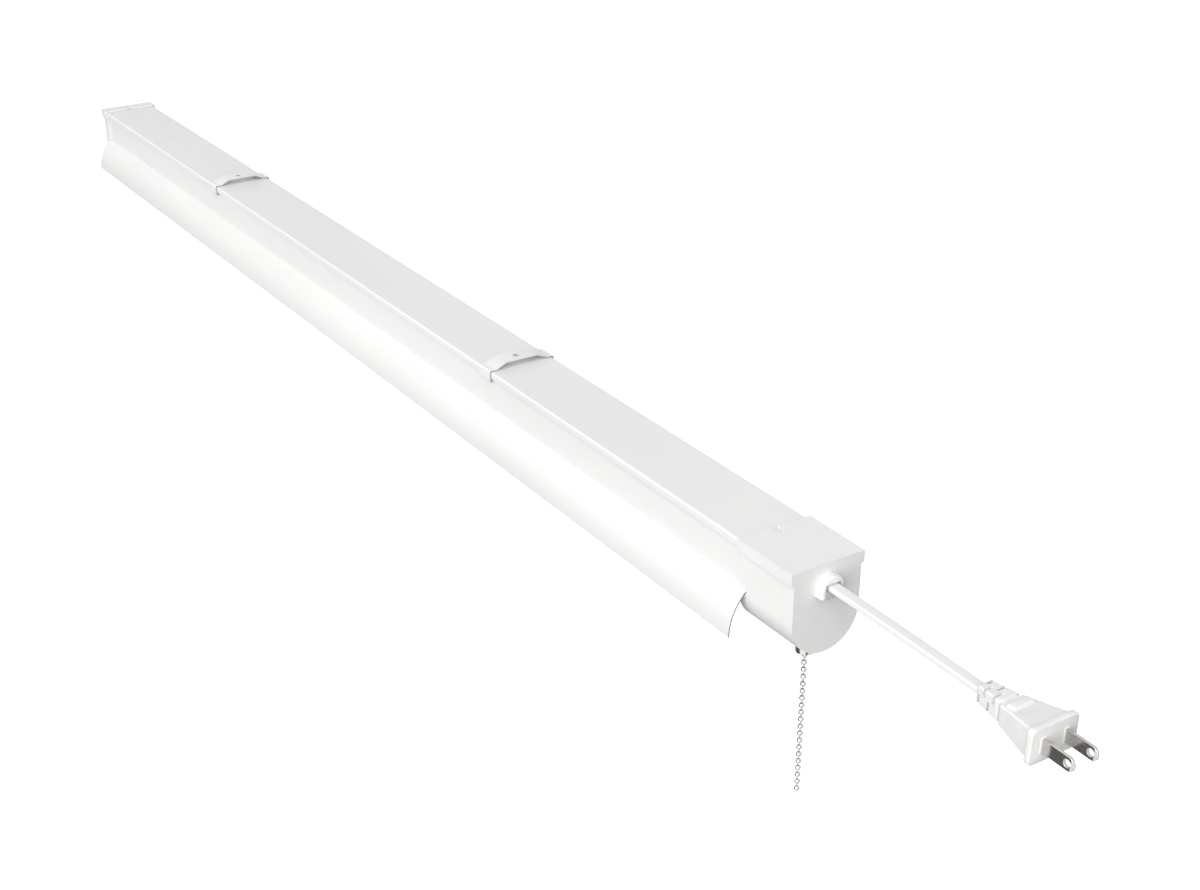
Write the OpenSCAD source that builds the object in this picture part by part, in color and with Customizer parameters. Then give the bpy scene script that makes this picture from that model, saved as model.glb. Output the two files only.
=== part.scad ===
// Hanging shop light: a slim LED strip under a folded steel housing, with flared
// reflectors, moulded end caps, a pull-chain switch, a short plug lead and two clips.
// The origin lies midway between the two clip holes, on top of the clips.
// +X runs along the light towards the cord, +Z points up to the ceiling.

/* [Fixture] */
// Length over both end caps
fixture_len = 900; // [820:1:1250]
// From the point midway between the clips to the middle of the fixture
fixture_shift = 16; // [0:1:30]
// Clearance between pieces that fit into each other
fit = 0.1; // [0.05:0.01:0.15]

/* [End caps] */
// Width over the lip at the top of a cap
cap_w = 41.6; // [36:0.1:48]
// How far the lip stands out from a cap's sides
cap_lip_out = 1.6; // [1.3:0.1:2.4]
// Height of a cap
cap_h = 46.2; // [44:0.1:54]
// Height of the lip below the cover's turned-down sides
cap_lip_floor = 1.1; // [0.8:0.1:3]
// Thickness of the moulded walls
cap_wall = 1; // [0.8:0.05:1.2]
// Thickness of the end walls
cap_face_t = 2; // [1.2:0.1:2.4]
// Length of the cap with the cord and the switch
cord_cap_len = 39; // [37:0.5:60]
// Room between the plain cap's end wall and the rib inside it
plain_cap_room = 0.3; // [0:0.1:20]
// How far the housing reaches into each cap
channel_insert = 8; // [7.2:0.1:10]
// Height of the rib inside a cap that the housing stops against
stop_rib_h = 2; // [1.5:0.1:3]
// Thickness of that rib
stop_rib_t = 0.8; // [0.6:0.1:1.2]
// Width of the notch in the top of a cap
notch_w = 3.6; // [3:0.1:6]
// Length of the notch
notch_len = 5.4; // [4:0.1:6]

/* [Top cover] */
// Thickness of the cover sheet
cover_t = 0.8; // [0.6:0.05:0.9]
// Height of the cover's turned-down sides
cover_lip_h = 3.8; // [3:0.1:4]
// Inner radius of the cover's long edges
cover_bend_r = 0.2; // [0.1:0.05:0.7]
// Width of the tongue that stands in each cap's notch
tongue_w = 2.4; // [2:0.1:2.9]
// Rise of the tongue at its free end
tongue_rise = 0.5; // [0.4:0.1:0.9]
// Width of the slit around the tongue
tongue_slit = 0.3; // [0.2:0.05:0.4]

/* [Sides and wings] */
// Thickness of the side and wing sheets
reflector_t = 0.7; // [0.5:0.05:0.8]
// Outer radius of the flared wing
wing_r = 29.8; // [28.8:0.1:36]
// From the housing's side out to the lower edge of a wing
wing_out = 10.4; // [8:0.1:12]
// How far the wings hang below the end caps
wing_drop = 0.5; // [0:0.1:4]
// How far the wings run past the inner edge of each cap
wing_insert = 5.5; // [3:0.1:7]
// Width of the side panels' flange under the cover
side_flange_w = 6; // [3:0.1:8]
// Height of the wings' flange inside the side panels
wing_lap = 5; // [3:0.1:8]

/* [Lens] */
// Thickness of the lens
lens_t = 1.2; // [0.8:0.1:1.6]
// Width of the rail inside each long edge of the lens
lens_rail_w = 1.2; // [0.8:0.1:1.4]

/* [Lamp tray] */
// Thickness of the tray sheet
tray_t = 0.8; // [0.6:0.05:1]
// From the top of the caps down to the lamp face of the tray
tray_depth = 22; // [21:0.1:23]
// Height of the tray's sides
tray_side_h = 10; // [6:0.1:14]

/* [LED board] */
// Clearance between the board and the rails of the lens
board_gap = 3.1; // [3:0.1:5]
// Thickness of the board
board_t = 1.6; // [1:0.1:2]
// Number of lamps in each of the two rows
chip_count = 36; // [12:1:36]
// From the edge of the board to a row of lamps
chip_edge = 4.6; // [3.5:0.1:5]
// Length of one lamp
chip_l = 3.5; // [2:0.1:4]
// Width of one lamp
chip_w = 2.8; // [2:0.1:3.2]
// Height of one lamp
chip_h = 0.7; // [0.5:0.1:1]
// Number of screws that hold the board
board_screw_count = 6; // [4:1:6]
// Radius of a board screw's shank
board_screw_r = 1.2; // [1:0.05:1.4]
// Radius of a board screw's head
board_screw_head_r = 2.3; // [2:0.1:2.6]
// Height of a board screw's head
board_screw_head_h = 1.1; // [0.8:0.1:1.6]
// How far a board screw stands above the tray
board_screw_tip = 1.5; // [0.5:0.1:2]

/* [LED driver] */
// Length of the driver's case
driver_len = 110; // [80:1:116]
// Clearance between the driver's case and the tray's sides
driver_gap = 2.2; // [1.6:0.1:5]
// Height of the driver's case
driver_h = 14; // [10:0.1:16]
// Radius of the case's upright edges
driver_edge_r = 1.6; // [0.5:0.1:3]
// Length of the ear at each end of the driver
driver_ear_l = 7; // [6.5:0.1:8]
// Thickness of the ears
driver_ear_t = 1.5; // [1:0.1:2]
// Radius of a driver screw's shank
driver_screw_r = 1.3; // [1:0.05:1.4]
// Radius of a driver screw's head
driver_screw_head_r = 2.6; // [2.2:0.1:2.8]
// Height of a driver screw's head
driver_screw_head_h = 1.4; // [1:0.1:2]
// How far a driver screw reaches below the tray
driver_screw_tip = 1.2; // [0.4:0.1:1.6]

/* [Pull switch] */
// Clearance along the light between the switch and the strain relief
switch_gap = 0.4; // [0.3:0.1:4]
// Length of the switch body along the light
switch_l = 18; // [15:0.1:18.6]
// Width of the switch body
switch_w = 19; // [15:0.1:19.4]
// Clearance between the switch's lower edges and the cap's round bottom
switch_edge_gap = 0.87; // [0.3:0.01:2]
// Radius of the chamber inside the switch
chamber_r = 5.4; // [5:0.1:6.5]
// Thickness of the switch body over its chamber
switch_roof_t = 3; // [2:0.1:4]
// Outer radius of the threaded barrel
barrel_r = 3.5; // [3.3:0.05:3.6]
// Radius of the way through the barrel
barrel_bore_r = 2; // [1.8:0.05:2.2]
// Thickness of the barrel's flange inside the switch
barrel_flange_t = 1.2; // [0.8:0.1:2]
// Outer radius of the nut under the cap
nut_r = 4.6; // [4.4:0.05:5.2]
// Height of the nut
nut_h = 6.4; // [4:0.1:7]
// Thickness of the nut's turned-in rim
nut_rim_t = 0.8; // [0.6:0.1:1.2]
// Bevel on the nut's lower edge
nut_bevel = 0.4; // [0.2:0.05:0.6]
// How far the chain pulls down before the switch clicks
pull_travel = 8; // [5:0.5:8]
// Play left in the switch when the spring is pressed together
pull_play = 1.4; // [0.5:0.1:3]
// Clearance between the pull rod's head and the chamber
rod_head_gap = 0.8; // [0.3:0.1:1.2]
// Thickness of that head
rod_head_t = 1.2; // [1:0.1:2]
// Radius of the pull rod and of the links between the beads
link_r = 0.45; // [0.35:0.05:0.6]
// Radius of the return spring's wire
spring_wire_r = 0.35; // [0.25:0.05:0.4]
// Turns of the return spring
spring_turns = 6; // [4:1:6]

/* [Chain] */
// Radius of a bead
bead_r = 1.4; // [1.2:0.05:1.6]
// Distance from bead to bead
bead_pitch = 3.95; // [3.7:0.05:4.6]
// Beads that hang below the first one outside the nut
bead_count = 19; // [6:1:40]
// From the nut's lower edge down to the middle of the first bead outside it
bead_start = 2.2; // [2:0.1:3]
// Clearance between the chain's loose pieces
chain_gap = 0.15; // [0.1:0.01:0.25]

/* [Clips] */
// Distance between the holes of the two clips
clip_spacing = 392; // [300:1:480]
// Width of a clip along the light
clip_w = 12.6; // [10:0.1:20]
// Thickness of the clip's sheet
clip_t = 0.7; // [0.6:0.05:0.8]
// Height of the clips' bridges above the end caps
clip_rise = 2.5; // [1.5:0.1:6]
// Half the length of a clip's flat bridge
bridge_half = 10.2; // [6:0.1:13]
// Length of a clip's flat foot, over the bend
foot_l = 4.55; // [3:0.05:6]
// Radius of the hole in a clip
clip_hole_r = 1.8; // [1.5:0.1:2.6]
// Clearance between a clip and the cover
clip_gap = 0.15; // [0.1:0.01:0.25]
// Outer radius of a clip's bends
clip_bend_r = 1; // [0.9:0.05:1.1]
// Height of the hook under the cover's lip
hook_h = 1; // [0.6:0.1:2]

/* [Strain relief] */
// Thickness of the arch beside the cord's slot
relief_leg_t = 2.5; // [2:0.1:3.5]
// From the top of the cap down to the top of the arch
relief_top = 5; // [4:0.1:5.4]
// Thickness of the arch above the cord's slot
relief_roof_t = 3.6; // [3:0.1:4]
// Room in the slot above the cord
cord_room = 0.6; // [0.2:0.1:0.8]
// Height of the arch
relief_h = 10.2; // [9:0.1:11]
// How far the arch stands out from the cap
relief_out = 4.5; // [3:0.1:7]
// Bevel around the arch's front
relief_bevel = 0.7; // [0.3:0.05:1]
// How far the arch is wider than the part in the wall, on each side
relief_shoulder = 0.9; // [0.5:0.05:1]
// How far the strain relief reaches into the cap
relief_in = 1.3; // [1:0.1:3]
// Room in the slot on each side of the cord
cord_side_room = 1.5; // [0.6:0.1:1.8]
// Height of the wedge under the cord
wedge_h = 4.4; // [3:0.1:5]
// Radius of the wedge's lower edges
wedge_edge_r = 1.6; // [0.8:0.1:2]

/* [Cord and plug] */
// Width of the flat cord
cord_w = 5.6; // [5:0.1:6.4]
// Thickness of the flat cord
cord_t = 3; // [2.6:0.1:3.2]
// Length of the plug's flexible collar
collar_len = 13.8; // [10:0.1:18]
// Width of the collar at the cord
collar_w0 = 7.8; // [6.5:0.1:8]
// Height of the collar at the cord
collar_h0 = 8.2; // [6:0.1:9]
// Width of the collar at the plug
collar_w1 = 11; // [9:0.1:12]
// Height of the collar at the plug
collar_h1 = 10; // [8.4:0.1:11]
// Width of each slot in the collar
slot_w = 1.2; // [0.5:0.1:1.5]
// Depth of those slots
slot_d = 1.6; // [0.8:0.1:1.8]
// Distance between the slots
slot_pitch = 3; // [2.2:0.1:3.2]
// Length of the neck between collar and body, drawn in at its sides
groove_len = 1.4; // [0.8:0.1:2]
// Length of the plug's body
plug_len = 20.4; // [16:0.1:26]
// Width of the body at the groove
plug_w0 = 13.2; // [12.2:0.1:14]
// Height of the body at the groove
plug_h0 = 9.6; // [9:0.1:11]
// Width of the body at the flange
plug_w1 = 21.8; // [18:0.1:23]
// Height of the body at the flange
plug_h1 = 14.4; // [12:0.1:15]
// Height of the grip bars on the body
grip_h = 1.2; // [0.5:0.1:1.5]
// Length of a grip bar
grip_l = 5; // [3:0.1:7]
// From the groove to a grip bar
grip_start = 2.6; // [1:0.1:5]
// Width of the flange
flange_w = 25.6; // [24:0.1:28]
// Height of the flange
flange_h = 16.7; // [15.5:0.1:18]
// Thickness of the flange
flange_t = 3.2; // [2:0.1:4]
// Corner radius of the flange
flange_r = 1.6; // [1:0.1:4]
// Bevel around the flange
flange_bevel = 0.6; // [0.3:0.05:1]
// Radius of the body's long edges
plug_edge_r = 0.8; // [0.5:0.1:2]
// Distance between the blades
blade_gap = 12.7; // [12.5:0.05:12.9]
// Thickness of a blade
blade_t = 1.5; // [1.4:0.05:1.6]
// Height of a blade
blade_h = 6.3; // [6:0.05:6.6]
// Length of a blade outside the plug
blade_len = 16.8; // [15.9:0.1:18.3]
// Length of a blade inside the plug
blade_root = 7; // [4:0.1:10]
// Radius of the hole in a blade
blade_hole_r = 1.8; // [1.5:0.05:1.9]
// From a blade's tip to the middle of its hole
blade_hole_in = 3.6; // [3.4:0.1:6]
// Length of the bevel at a blade's tip
blade_bevel_l = 2; // [1:0.1:3]
// Thickness left at a blade's tip
blade_tip_t = 0.7; // [0.4:0.05:1]

/* [Wires] */
// Radius of the insulated wires
wire_r = 0.9; // [0.7:0.05:1]
// Radius of the lamp leads
lamp_wire_r = 0.6; // [0.5:0.05:0.7]
// Radius of the crimped splice
splice_r = 2; // [1.6:0.1:2.4]
// Length of the crimped splice
splice_len = 16; // [12:0.5:20]

/* [Hidden] */
$fn = 48;

// Overrun of a cut past the face that it opens
over = cap_wall;

// Places along the light
near_x = fixture_shift + fixture_len / 2;
far_x = fixture_shift - fixture_len / 2;
near_rim_x = near_x - cord_cap_len;
plain_cap_len = cap_face_t + plain_cap_room + stop_rib_t + fit + channel_insert;
far_rim_x = far_x + plain_cap_len;
channel_x0 = far_rim_x - channel_insert;
channel_len = near_rim_x + channel_insert - channel_x0;
wing_x0 = far_rim_x - wing_insert;
wing_len = near_rim_x + wing_insert - wing_x0;

// Heights
top_z = -clip_rise;
body_half = cap_w / 2 - cap_lip_out;
cap_lip_h = cap_wall + cover_lip_h + cap_lip_floor + 2 * fit;
bottom_z = top_z - cap_h;
round_z = bottom_z + body_half;
cover_z = top_z - cap_wall - fit;
cover_half = cap_w / 2 - cap_wall - fit;
lip_z = cover_z - cover_lip_h;
side_half = body_half - cap_wall - fit;
side_top_z = cover_z - cover_t - fit;
side_in = side_half - reflector_t;
lap_half = side_in - fit;
lap_in = lap_half - reflector_t;
tray_half = lap_in - fit;
tray_z = top_z - tray_depth;
tray_top_z = tray_z + tray_t;
lens_half = lap_in - fit;
lens_top_z = tray_z - 3 * fit;
rail_half = lens_half - lens_t - lens_rail_w;
board_half = rail_half - board_gap;
board_z = tray_z - board_t;

// Flared wings: the middle of their arc, and where the arc leaves the side
wing_reach = side_half + wing_out;
wing_y = wing_reach - wing_r;
wing_z = bottom_z - wing_drop;
function arc_z(r, y) = wing_z + sqrt(r * r - (y - wing_y) * (y - wing_y));
lap_low_z = (arc_z(wing_r, lap_half) + arc_z(wing_r - reflector_t, lap_in)) / 2;
lap_top_z = arc_z(wing_r, side_in) + wing_lap;

// Lamps, the board's screws, each midway between two lamps, and the driver, midway between
// the last two of these screws
chip_pitch = channel_len / (chip_count + 1);
chip_row_y = board_half - chip_edge - chip_w / 2;
end_share = 0.25;
screw_lamps = (chip_count + 1) / (board_screw_count - 1 + 2 * end_share);
function board_screw_x(k) = channel_x0 + (floor((k + end_share) * screw_lamps) + 1 / 2) * chip_pitch;
driver_mid_x = (board_screw_x(board_screw_count - 2) + board_screw_x(board_screw_count - 1)) / 2;
driver_x1 = driver_mid_x + driver_len / 2;
driver_x0 = driver_x1 - driver_len;
driver_top_z = tray_top_z + driver_h;
driver_half = tray_half - tray_t - driver_gap;
driver_screw_y = min(tray_half - tray_t - driver_screw_head_r, rail_half - driver_screw_r) - 2 * fit;

// Switch, barrel, rod and chain, on one upright axis
switch_x = near_x - cap_face_t - relief_in - switch_gap - switch_l / 2;
switch_corner_r = body_half - cap_wall - switch_edge_gap;
switch_z = round_z - sqrt(switch_corner_r * switch_corner_r - switch_w * switch_w / 4);
rod_head_r = chamber_r - rod_head_gap;
nut_z = bottom_z - nut_h;
barrel_z = nut_z + nut_rim_t + fit;
flange_top_z = switch_z + barrel_flange_t;
pressed_spring = 2 * spring_wire_r * spring_turns;
chamber_top_z = flange_top_z + pressed_spring + pull_travel + rod_head_t + pull_play;
switch_top_z = chamber_top_z + switch_roof_t;
rod_top_z = chamber_top_z - 3 * fit;
rod_head_z = rod_top_z - rod_head_t;
first_bead_z = nut_z - bead_start;
inner_bead_z = first_bead_z + bead_pitch;
boss_r = nut_r + cap_wall;
boss_h = switch_z - bottom_z;

// Strain relief
slot_half = cord_w / 2 + cord_side_room;
relief_half = slot_half + relief_leg_t;
relief_top_z = top_z - relief_top;
relief_low_z = relief_top_z - relief_h;
neck_half = relief_half - relief_shoulder;
slot_top_z = relief_top_z - relief_roof_t;
cord_z = slot_top_z - cord_room - cord_t / 2;
wedge_z = cord_z - cord_t / 2 - fit;
wedge_half = slot_half - 3 * fit;

// The cord's route from inside the cap to the plug, measured from the cap's face and the
// middle of the slot: it leaves level and droops a little
cord_shape = [
    [-14, 0, 0], [-8, 0, 0], [-2, 0, 0], [4.5, 0, 0], [10, 0, -0.01], [16, 0, -0.03],
    [24, 0, -0.09], [32, 0, -0.18], [40, 0, -0.29], [48, 0, -0.41], [56, 0, -0.56],
    [64, 0, -0.72], [72, 0, -0.89], [80, 0, -1.08], [88, 0, -1.27], [93, 0, -1.39],
    [97.5, 0, -1.5]
];
cord_route = [for (p = cord_shape) p + [near_x, 0, cord_z]];
cord_end = cord_route[len(cord_route) - 1];
plug_tilt = 1.4;

// Lays an outline drawn in Y and Z along the light
module along_x(x0, length) {
    translate([x0, 0, 0]) rotate([90, 0, 90]) linear_extrude(length) children();
}

// Upright piece turned about the switch's axis
module on_switch_axis() {
    translate([switch_x, 0, 0]) rotate_extrude() children();
}

// U outline with a half-round bottom, centred on the caps' round
module u_outline(half, top) {
    intersection() {
        union() {
            translate([-half, round_z]) square([2 * half, cap_h]);
            translate([0, round_z]) circle(half);
        }
        translate([-half, round_z - half]) square([2 * half, top - round_z + half]);
    }
}

// Block outline with two round lower corners
module round_foot_outline(half, top, bottom, r) {
    translate([-half, bottom + r]) square([2 * half, top - bottom - r]);
    translate([r - half, bottom]) square([2 * (half - r), r]);
    for (s = [-1, 1]) translate([s * (half - r), bottom + r]) circle(r);
}

// Outline of a plate with two round upper corners
module round_top_outline(half, top, bottom, r) {
    translate([-half, bottom]) square([2 * half, top - r - bottom]);
    translate([r - half, top - r]) square([2 * (half - r), r]);
    for (s = [-1, 1]) translate([s * (half - r), top - r]) circle(r);
}

// Part of a ring, kept by the children's outline
module ring_part(y, z, r_out, r_in) {
    intersection() {
        translate([y, z]) difference() {
            circle(r_out);
            circle(r_in);
        }
        children();
    }
}

// Sweeps an oval tube along a route; its width lies across the light
function unit(v) = v / norm(v);
function heading(p, i) = unit(p[min(i + 1, len(p) - 1)] - p[max(i - 1, 0)]);
function across(t, side) = unit(side - t * (t * side));
function oval(half_w, half_t, sides) = [
    for (k = [0 : sides - 1])
        let (a = 360 * (k + 0.5) / sides, flat = half_w - half_t)
        [half_t * cos(a) + flat * sign(cos(a)), half_t * sin(a)]
];
module tube(p, half_w, half_t, sides, side = [0, 1, 0]) {
    ring = oval(half_w, half_t, sides);
    last = (len(p) - 1) * sides;
    points = [
        for (i = [0 : len(p) - 1])
            let (t = heading(p, i), n = across(t, side), b = cross(t, n))
            each [for (q = ring) p[i] + n * q[0] + b * q[1]]
    ];
    sides_faces = [
        for (i = [0 : len(p) - 2], k = [0 : sides - 1])
            let (a = i * sides + k, c = i * sides + (k + 1) % sides)
            each [[a, a + sides, c], [c, a + sides, c + sides]]
    ];
    start_face = [for (k = [0 : sides - 1]) k];
    end_face = [for (k = [sides - 1 : -1 : 0]) last + k];
    polyhedron(points, concat(sides_faces, [start_face, end_face]));
}

// Pan-head screw along Z, its seat at the origin and its head above it
module screw(shank_r, shank_len, head_r, head_h) {
    translate([0, 0, -shank_len]) cylinder(r = shank_r, h = shank_len);
    rotate_extrude() {
        square([head_r, head_h / 2]);
        translate([0, head_h / 2]) square([head_r - head_h / 2, head_h / 2]);
        translate([head_r - head_h / 2, head_h / 2]) intersection() {
            circle(head_h / 2);
            square(head_h);
        }
    }
}

// Outline of one end cap's wall: lip, straight sides and round bottom
module cap_outline() {
    u_outline(body_half, top_z);
    translate([-cap_w / 2, top_z - cap_lip_h]) square([cap_w, cap_lip_h]);
}

// Room inside a cap for the housing
module cap_room_outline() {
    u_outline(body_half - cap_wall, top_z - cap_wall);
    translate([-cover_half - fit, lip_z - fit])
        square([2 * (cover_half + fit), top_z - cap_wall - lip_z + fit]);
}

// Rib inside a cap that the housing's end stops against
module stop_rib_outline() {
    difference() {
        u_outline(body_half - cap_wall / 2, top_z - cap_wall / 2);
        u_outline(body_half - cap_wall - stop_rib_h, top_z - cap_wall - 2 * stop_rib_h);
    }
}

// Shell of a cap: dir is 1 where its inner edge faces the far end of the light
module cap_shell(face_x, rim_x, dir) {
    x0 = min(face_x, rim_x);
    length = abs(face_x - rim_x);
    room_x0 = dir > 0 ? rim_x - over : face_x + cap_face_t;
    rib_x0 = dir > 0 ? rim_x + channel_insert + fit : rim_x - channel_insert - fit - stop_rib_t;
    slot_len = wing_insert + fit + over;
    notch_x0 = dir > 0 ? rim_x - over : rim_x - notch_len;
    slot_x0 = dir > 0 ? rim_x - over : rim_x - slot_len + over;
    difference() {
        along_x(x0, length) cap_outline();
        along_x(room_x0, length - cap_face_t + over) cap_room_outline();
        translate([notch_x0, -notch_w / 2, top_z - cap_wall - over])
            cube([notch_len + over, notch_w, cap_wall + 2 * over]);
        for (s = [-1, 1])
            translate([slot_x0, s * body_half - over, wing_slot_z0])
                cube([slot_len, 2 * over, wing_slot_z1 - wing_slot_z0]);
    }
    along_x(rib_x0, stop_rib_t) stop_rib_outline();
}
wing_slot_z0 = arc_z(wing_r - reflector_t, body_half) - 2 * fit;
wing_slot_z1 = arc_z(wing_r, side_half) + 2 * fit;

// Folded top cover with returned lips and a raised tongue for each cap's notch
module top_cover() {
    half = cover_half;
    return_w = half - cover_t - side_half - fit;
    color("gainsboro") {
        difference() {
            along_x(channel_x0, channel_len) union() {
                difference() {
                    round_top_outline(half, cover_z, lip_z, cover_bend_r + cover_t);
                    round_top_outline(half - cover_t, cover_z - cover_t, lip_z - over, cover_bend_r);
                }
                for (s = [-1, 1])
                    translate([s * (half - cover_t - return_w / 2) - return_w / 2, lip_z])
                        square([return_w, cover_t]);
            }
            tongue_place(near_rim_x, 1) tongue_window();
            tongue_place(far_rim_x, -1) tongue_window();
        }
        tongue_place(near_rim_x, 1) tongue();
        tongue_place(far_rim_x, -1) tongue();
    }
}

// The tongue's root lies just inside the cap's inner edge
module tongue_place(rim_x, dir) {
    translate([rim_x, 0, cover_z - cover_t]) mirror([dir > 0 ? 0 : 1, 0, 0]) children();
}
tongue_len = notch_len - 2 * tongue_slit;
module tongue_window() {
    translate([tongue_slit, -tongue_w / 2 - tongue_slit, -over])
        cube([tongue_len, tongue_w + 2 * tongue_slit, cover_t + 2 * over]);
}
module tongue() {
    flat = tongue_slit;
    tip = tongue_len;
    rotate([90, 0, 0]) translate([0, 0, -tongue_w / 2]) linear_extrude(tongue_w)
        polygon([
            [0, 0], [flat, 0], [tip, tongue_rise], [tip, tongue_rise + cover_t],
            [flat, cover_t], [0, cover_t]
        ]);
}

// Upright side panel with a flange under the cover; its lower edge follows the wing
module side_panel(s) {
    mirror([0, s > 0 ? 0 : 1, 0]) along_x(channel_x0, channel_len) difference() {
        union() {
            translate([side_half - side_flange_w, side_top_z - reflector_t])
                square([side_flange_w, reflector_t]);
            translate([side_in, wing_z]) square([reflector_t, side_top_z - wing_z]);
        }
        translate([wing_y, wing_z]) circle(wing_r + fit);
    }
}
module left_side_panel() { color("white") side_panel(-1); }
module right_side_panel() { color("white") side_panel(1); }

// Flared wing with a flange that laps inside its side panel
module wing(s) {
    mirror([0, s > 0 ? 0 : 1, 0]) along_x(wing_x0, wing_len) union() {
        translate([lap_in, lap_low_z]) square([reflector_t, lap_top_z - lap_low_z]);
        ring_part(wing_y, wing_z, wing_r, wing_r - reflector_t)
            translate([lap_in, wing_z]) square([wing_r, wing_r]);
        translate([wing_reach - reflector_t / 2, wing_z]) circle(reflector_t / 2);
    }
}
module left_wing() { color("white") wing(-1); }
module right_wing() { color("white") wing(1); }

// Folded tray that carries the board below and the driver above
module gear_tray() {
    color("silver") difference() {
        along_x(channel_x0, channel_len) difference() {
            translate([-tray_half, tray_z]) square([2 * tray_half, tray_side_h]);
            translate([-tray_half + tray_t, tray_top_z])
                square([2 * (tray_half - tray_t), tray_side_h]);
        }
        at_board_screws() cylinder(r = board_screw_r + fit, h = 2 * (tray_t + over), center = true);
        at_driver_screws() cylinder(r = driver_screw_r + fit, h = 2 * (tray_t + over), center = true);
        translate([lamp_hole_x, lamp_hole_y, tray_z - over])
            cylinder(r = lamp_hole_r, h = tray_t + 2 * over);
    }
}

// Places of the screws, on the tray's upper face
module at_board_screws() {
    for (k = [0 : board_screw_count - 1])
        translate([board_screw_x(k), 0, tray_top_z]) children();
}
module at_driver_screws() {
    for (s = [-1, 1])
        translate([
            driver_mid_x + s * (driver_len + driver_ear_l) / 2,
            s * driver_screw_y, tray_top_z
        ]) children();
}

// Hole beside the board for the lamp leads
lamp_hole_r = 2 * lamp_wire_r + 2 * fit;
lamp_hole_x = driver_x0 - 2 * driver_ear_l;
lamp_hole_y = (board_half + rail_half) / 2;

// Frosted lens with a rail inside each long edge
module diffuser_lens() {
    color("whitesmoke") along_x(channel_x0, channel_len) union() {
        difference() {
            u_outline(lens_half, lens_top_z);
            u_outline(lens_half - lens_t, lens_top_z + over);
        }
        for (s = [-1, 1])
            translate([s * (lens_half - lens_t) - (s > 0 ? lens_rail_w : 0), lens_top_z - lens_t])
                square([lens_rail_w, lens_t]);
    }
}

// Circuit board under the tray, cut back where a driver screw comes close to its edge
board_margin = channel_insert / 2;
module led_board() {
    color("white") difference() {
        translate([channel_x0 + board_margin, -board_half, board_z])
            cube([channel_len - 2 * board_margin, 2 * board_half, board_t]);
        at_board_screws() translate([0, 0, board_z - tray_top_z - over])
            cylinder(r = board_screw_r + fit, h = board_t + 2 * over);
        at_driver_screws() translate([0, 0, board_z - tray_top_z - over])
            cylinder(r = driver_screw_r + fit, h = board_t + 2 * over);
    }
}

// Two rows of lamps on the board
module led_chips() {
    color("lemonchiffon")
        for (k = [1 : chip_count], s = [-1, 1])
            translate([
                channel_x0 + k * chip_pitch - chip_l / 2, s * chip_row_y - chip_w / 2,
                board_z - chip_h
            ]) cube([chip_l, chip_w, chip_h]);
}

// Screws through the board, heads down
module board_screws() {
    color("silver") at_board_screws()
        translate([0, 0, board_z - tray_top_z]) rotate([180, 0, 0])
            screw(board_screw_r, board_t + tray_t + board_screw_tip, board_screw_head_r,
                board_screw_head_h);
}

// Driver case with an ear at each end
module led_driver() {
    color("white") difference() {
        union() {
            driver_block(driver_x0, driver_len, driver_half, driver_h);
            for (s = [-1, 1])
                translate([
                    s > 0 ? driver_x1 - over : driver_x0 - driver_ear_l,
                    -driver_half - (s > 0 ? 0 : driver_ear_w - 2 * driver_half), tray_top_z
                ]) cube([driver_ear_l + over, driver_ear_w, driver_ear_t]);
        }
        at_driver_screws() cylinder(r = driver_screw_r + fit, h = 2 * (driver_ear_t + over), center = true);
    }
}
driver_ear_w = driver_half + driver_screw_y + driver_screw_head_r;
module driver_block(x0, length, half, height) {
    r = driver_edge_r;
    translate([x0 + r, -half, tray_top_z]) cube([length - 2 * r, 2 * half, height]);
    translate([x0, r - half, tray_top_z]) cube([length, 2 * (half - r), height]);
    for (x = [x0 + r, x0 + length - r], s = [-1, 1])
        translate([x, s * (half - r), tray_top_z]) cylinder(r = r, h = height);
}

// Screws through the driver's ears
module driver_screws() {
    color("silver") at_driver_screws() translate([0, 0, driver_ear_t])
        screw(driver_screw_r, driver_ear_t + tray_t + driver_screw_tip, driver_screw_head_r,
            driver_screw_head_h);
}

// Long end cap with the cord's opening and the boss for the switch
module cord_end_cap() {
    hole_low_z = wedge_z - wedge_h - fit;
    color("white") difference() {
        union() {
            cap_shell(near_x, near_rim_x, 1);
            translate([switch_x, 0, bottom_z]) cylinder(r = boss_r, h = boss_h);
        }
        translate([switch_x, 0, bottom_z - over]) cylinder(r = barrel_r + fit, h = boss_h + 2 * over);
        along_x(near_x - cap_face_t - over, cap_face_t + 2 * over) union() {
            relief_outline(neck_half + fit, relief_top_z - relief_shoulder + fit, relief_low_z);
            translate([-wedge_half - fit, hole_low_z])
                square([2 * (wedge_half + fit), relief_top_z - relief_half - hole_low_z]);
        }
    }
}

module plain_end_cap() {
    color("white") cap_shell(far_x, far_rim_x, -1);
}

// Arch outline of the strain relief
module relief_outline(half, top, bottom) {
    translate([-half, bottom]) square([2 * half, top - half - bottom]);
    intersection() {
        translate([0, top - half]) circle(half);
        translate([-half, bottom]) square([2 * half, top - bottom]);
    }
}

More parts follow.
